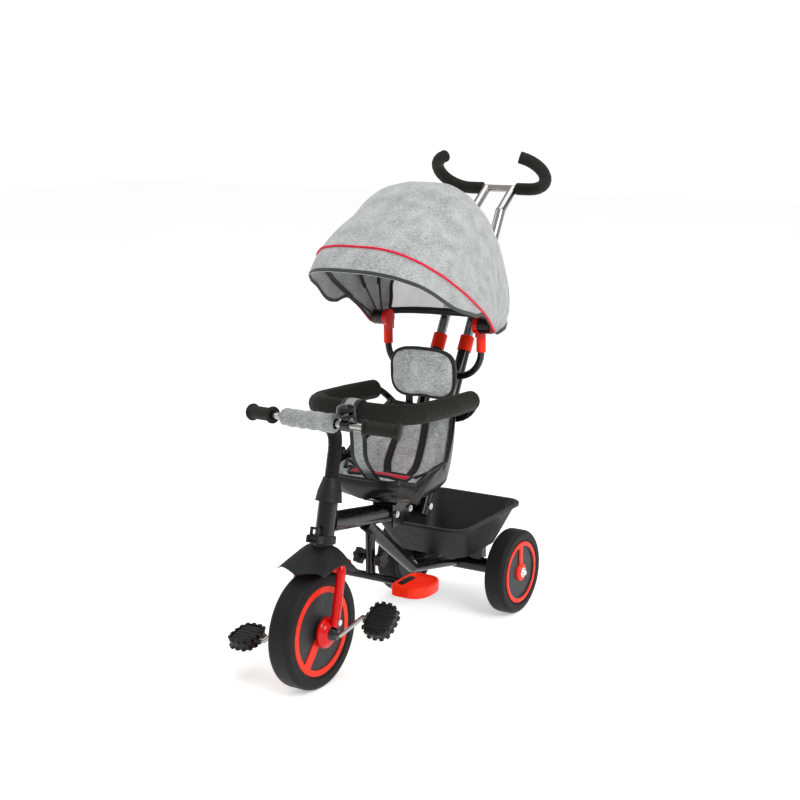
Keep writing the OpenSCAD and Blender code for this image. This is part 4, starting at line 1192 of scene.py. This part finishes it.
FOOTREST_PLACE = np.array([122.0, 225.0, 178.0])  # of the left tray's middle
FOOTREST_HALF = (41.5, 51.5)  # half its size out and back
FOOTREST_INSIDE = 38.5  # half size out that its insets and ribs are counted from
# Section of the tray from the middle of its underside, down round its skirt, over its rim and in over its
# floor: how far inside the outline, and how high
FOOTREST_PROFILE = ((30, 3), (12, 3), (6, 2.4), (4.0, 0), (3.4, -13.4), (2.6, -14), (0.8, -14), (0.2, -13.4),
                    (0, -11), (-0.6, 5), (-0.3, 7.5), (0.6, 9.3), (2.2, 10), (4.2, 9.8), (5.6, 8.8), (6.3, 7),
                    (6.8, 5.6), (8, 5), (14, 5), (24, 5), (34, 5))


def footrest(name, side, body):
    """A tray with a deep skirt, a raised round rim, a sunk floor and ribs across it: rings of one outline,
    drawn in by its section, from the middle of its underside to the middle of its floor."""
    outline = superellipse(*FOOTREST_HALF, (2.5, 6.0), 192)
    rings = [at_height(outline * 0, 3)]
    for inset, z in FOOTREST_PROFILE:
        rings.append(at_height(outline * (1 - inset / np.array([FOOTREST_INSIDE, FOOTREST_HALF[1]])), z))
    rings.append(at_height(outline * 0, 5))

    def placed(points):
        return row((np.asarray(points) + FOOTREST_PLACE) * (side, 1, 1))

    def bar(label, x, reach_y, z, half, thick, finish, sides):
        line = np.stack([np.full(12, x), np.linspace(-reach_y, reach_y, 12), np.full(12, z)], -1)
        return ribbon(label, placed(line), half * MM, thick * MM, (1.0, 0.0, 0.0), FINISH[finish], sides)

    parts = [grid("tray", placed(rings), FINISH["orange"])]
    for x in np.linspace(-16, 26, 7):
        reach_y = FOOTREST_HALF[1] * (1 - (abs(x) / FOOTREST_INSIDE) ** 2.5) ** 0.4 - 9
        parts.append(bar("rib", x, reach_y, 5.6, 1.3, 1.4, "orange", 10))
    tray = joined(name + "_tray", parts)
    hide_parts(name)
    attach(tray, body)
    insert = bar(name + "_insert", -27.0, 25, 6.6, 7.5, 2.4, "plastic", 16)
    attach(insert, body)


class TRICYCLE_OT_feet(bpy.types.Operator):
    """Toothed pedals and the two folding footrests"""

    bl_idname = "tricycle.feet"
    bl_label = "Pedals and footrests"

    def execute(self, context):
        pedal("pedal_left", 1, 38, "pedal_left")
        pedal("pedal_right", -1, 10, "pedal_right")
        footrest("footrest_left", 1, "footrest_left")
        footrest("footrest_right", -1, "footrest_right")
        return {"FINISHED"}


# ---- Wheel rings ----------------------------------------------------------------------------


WHEEL_DISH = 3.0  # how far inside its box a rear disc's face lies
REAR_RING = 69.5  # radius of the thin ring on a rear disc


class TRICYCLE_OT_wheels(bpy.types.Operator):
    """Domed hub covers with dark bosses on the fork, and a thin ring, hub and spoke on each rear wheel"""

    bl_idname = "tricycle.wheels"
    bl_label = "Wheel rings"

    def execute(self, context):
        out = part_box("hub_covers")[1][0] / MM - 13.0
        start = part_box("front_disc")[1][0] / MM + 3.0
        dome = [(start, 0), (start, 33.4), (start + 0.6, 34), (start + 5, 34), (start + 8, 33),
                (out - 9, 28.5), (out - 4, 25), (out - 1, 21), (out, 17), (out, 0)]
        boss = [(out - 1, 0), (out - 1, 15), (out + 2, 15), (out + 3, 13.5), (out + 11, 12.6), (out + 13, 11),
                (out + 13, 0)]
        hub = (0, 0, AXLE_HEIGHT)
        covers = joined("hub_domes", [turned("cover", dome, hub, (side, 0, 0), FINISH["red_gloss"], 72)
                                      for side in (-1, 1)])
        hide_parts("hub_covers")
        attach(covers, "fork")

        def sixfold(i, a):
            return 0.5 * np.cos(6 * a) * (i > 3)

        bosses = joined("hub_bosses", [turned("boss", boss, hub, (side, 0, 0), FINISH["gloss"], 48, sixfold)
                                       for side in (-1, 1)])
        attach(bosses, "fork")
        for side, label in ((1, "left"), (-1, "right")):
            centre, half = measured("rear_disc_" + label)
            face = side * centre[0] + half[0] - WHEEL_DISH
            y, z = centre[1:]
            k = np.linspace(0, 2 * np.pi, 181)
            ring = np.stack([np.full(181, side * face), y + REAR_RING * np.cos(k),
                             z + REAR_RING * np.sin(k)], -1)
            band = ribbon("ring", row(ring), 5.2 * MM, 2.2 * MM, unit(ring - ring[:-1].mean(0)),
                          FINISH["orange"], 12)
            spoke = row([[side * face, y - r * 0.02, z + r] for r in (18, 33, 46, 66)])
            arm = ribbon("spoke", spoke, 8.5 * MM, 2.2 * MM, (0.0, 1.0, 0.0), FINISH["orange"], 12)
            rolled = [(-3, 21.5), (1.0, 21.5), (2.4, 20), (3.0, 17), (2.6, 12), (1, 10.5), (-3, 10.5)]
            collar = turned("hub_ring", rolled, (side * (face + 1), y, z), (side, 0, 0), FINISH["orange"], 48)
            trim = joined("rear_ring_" + label, [band, arm, collar])
            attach(trim, "rear_wheel_" + label)
        return {"FINISHED"}


# ---- Stage ----------------------------------------------------------------------------------


FLOOR_HALF = 12.0
GLOW, PLAIN_WHITE = 0.6, 1.1  # strength of the light from all round, and of the white behind
# Each lamp: its name, place, size and power
LAMPS = (("Key", (3.6, -1.4, 3.2), 2.2, 125.0), ("Side", (-3.6, -1.2, 2.4), 2.4, 30.0),
         ("Top", (0.4, 0.6, 4.2), 3.0, 60.0))
CAMERA_PLACE = (1724, -2350, 1262)
CAMERA_TURN = (32.5, 12.4, -0.74)  # degrees round the upright, down and over to one side
LENS, SENSOR = 65.4, 36.0


class TRICYCLE_OT_stage(bpy.types.Operator):
    """Pale floor, soft white light from all round, three large soft lamps and the camera"""

    bl_idname = "tricycle.stage"
    bl_label = "Stage"

    def execute(self, context):
        scene = context.scene
        scene.view_settings.view_transform = "Standard"
        s = np.linspace(-FLOOR_HALF, FLOOR_HALF, 13)
        x, y = np.meshgrid(s, s)
        floor = grid("floor", np.stack([x, y, 0 * x], -1), FINISH["floor"])
        world = bpy.data.worlds.new("Studio")
        world.use_nodes = True
        tree = world.node_tree
        soft, plain = tree.nodes["Background"], tree.nodes.new("ShaderNodeBackground")
        for node, strength in ((soft, GLOW), (plain, PLAIN_WHITE)):
            node.inputs["Color"].default_value = (1, 1, 1, 1)
            node.inputs["Strength"].default_value = strength
        chosen, rays = tree.nodes.new("ShaderNodeMixShader"), tree.nodes.new("ShaderNodeLightPath")
        tree.links.new(rays.outputs["Is Camera Ray"], chosen.inputs[0])
        tree.links.new(soft.outputs[0], chosen.inputs[1])
        tree.links.new(plain.outputs[0], chosen.inputs[2])
        tree.links.new(chosen.outputs[0], tree.nodes["World Output"].inputs["Surface"])
        scene.world = world
        for name, spot, size, power in LAMPS:
            data = bpy.data.lights.new(name, "AREA")
            data.energy = power
            data.size = size
            lamp = bpy.data.objects.new(name, data)
            lamp.location = spot
            lamp.rotation_euler = (Vector((0, 0, 0.5)) - Vector(spot)).to_track_quat("-Z", "Y").to_euler()
            scene.collection.objects.link(lamp)
        a, e, roll = np.radians(CAMERA_TURN)
        forward = np.array([-np.sin(a) * np.cos(e), np.cos(a) * np.cos(e), -np.sin(e)])
        level = np.array([np.cos(a), np.sin(a), 0.0])
        above = np.cross(level, forward)
        right = level * np.cos(roll) + above * np.sin(roll)
        up = above * np.cos(roll) - level * np.sin(roll)
        data = bpy.data.cameras.new("Camera")
        data.lens = LENS
        data.sensor_width = SENSOR
        camera = bpy.data.objects.new("Camera", data)
        turn = Matrix(np.stack([right, up, -forward], 1).tolist()).to_4x4()
        camera.matrix_world = Matrix.Translation(row(CAMERA_PLACE)) @ turn
        scene.collection.objects.link(camera)
        scene.camera = camera
        return {"FINISHED"}


class TRICYCLE_OT_finishes(bpy.types.Operator):
    """Makes every finish and dresses the fixed frame with them"""

    bl_idname = "tricycle.finishes"
    bl_label = "Finishes"

    def execute(self, context):
        make_finishes(context.scene.tricycle_colours)
        dress_frame()
        return {"FINISHED"}


# ---- Panel and registration -----------------------------------------------------------------


OPERATORS = (TRICYCLE_OT_finishes, TRICYCLE_OT_stage, TRICYCLE_OT_canopy, TRICYCLE_OT_seat,
             TRICYCLE_OT_headrest, TRICYCLE_OT_crotch_strap, TRICYCLE_OT_bar_sleeve, TRICYCLE_OT_stem,
             TRICYCLE_OT_grips, TRICYCLE_OT_feet, TRICYCLE_OT_wheels)


class TRICYCLE_PT_panel(bpy.types.Panel):
    """Sizes, colours and one button for each group of pieces"""

    bl_idname = "TRICYCLE_PT_panel"
    bl_label = "Tricycle"
    bl_space_type = "VIEW_3D"
    bl_region_type = "UI"
    bl_category = "Tricycle"

    def draw(self, context):
        layout = self.layout
        for group in (context.scene.tricycle_sizes, context.scene.tricycle_colours):
            for name in group.__annotations__:
                layout.prop(group, name)
        for operator in OPERATORS:
            layout.operator(operator.bl_idname)


CLASSES = (TricycleSizes, TricycleColours, *OPERATORS, TRICYCLE_PT_panel)


def register():
    for item in CLASSES:
        bpy.utils.register_class(item)
    bpy.types.Scene.tricycle_sizes = bpy.props.PointerProperty(type=TricycleSizes)
    bpy.types.Scene.tricycle_colours = bpy.props.PointerProperty(type=TricycleColours)


def unregister():
    del bpy.types.Scene.tricycle_colours
    del bpy.types.Scene.tricycle_sizes
    for item in reversed(CLASSES):
        bpy.utils.unregister_class(item)


def main():
    """Builds everything in order."""
    register()
    for operator in OPERATORS:
        group, name = operator.bl_idname.split(".")
        getattr(getattr(bpy.ops, group), name)()


if __name__ == "__main__":
    main()
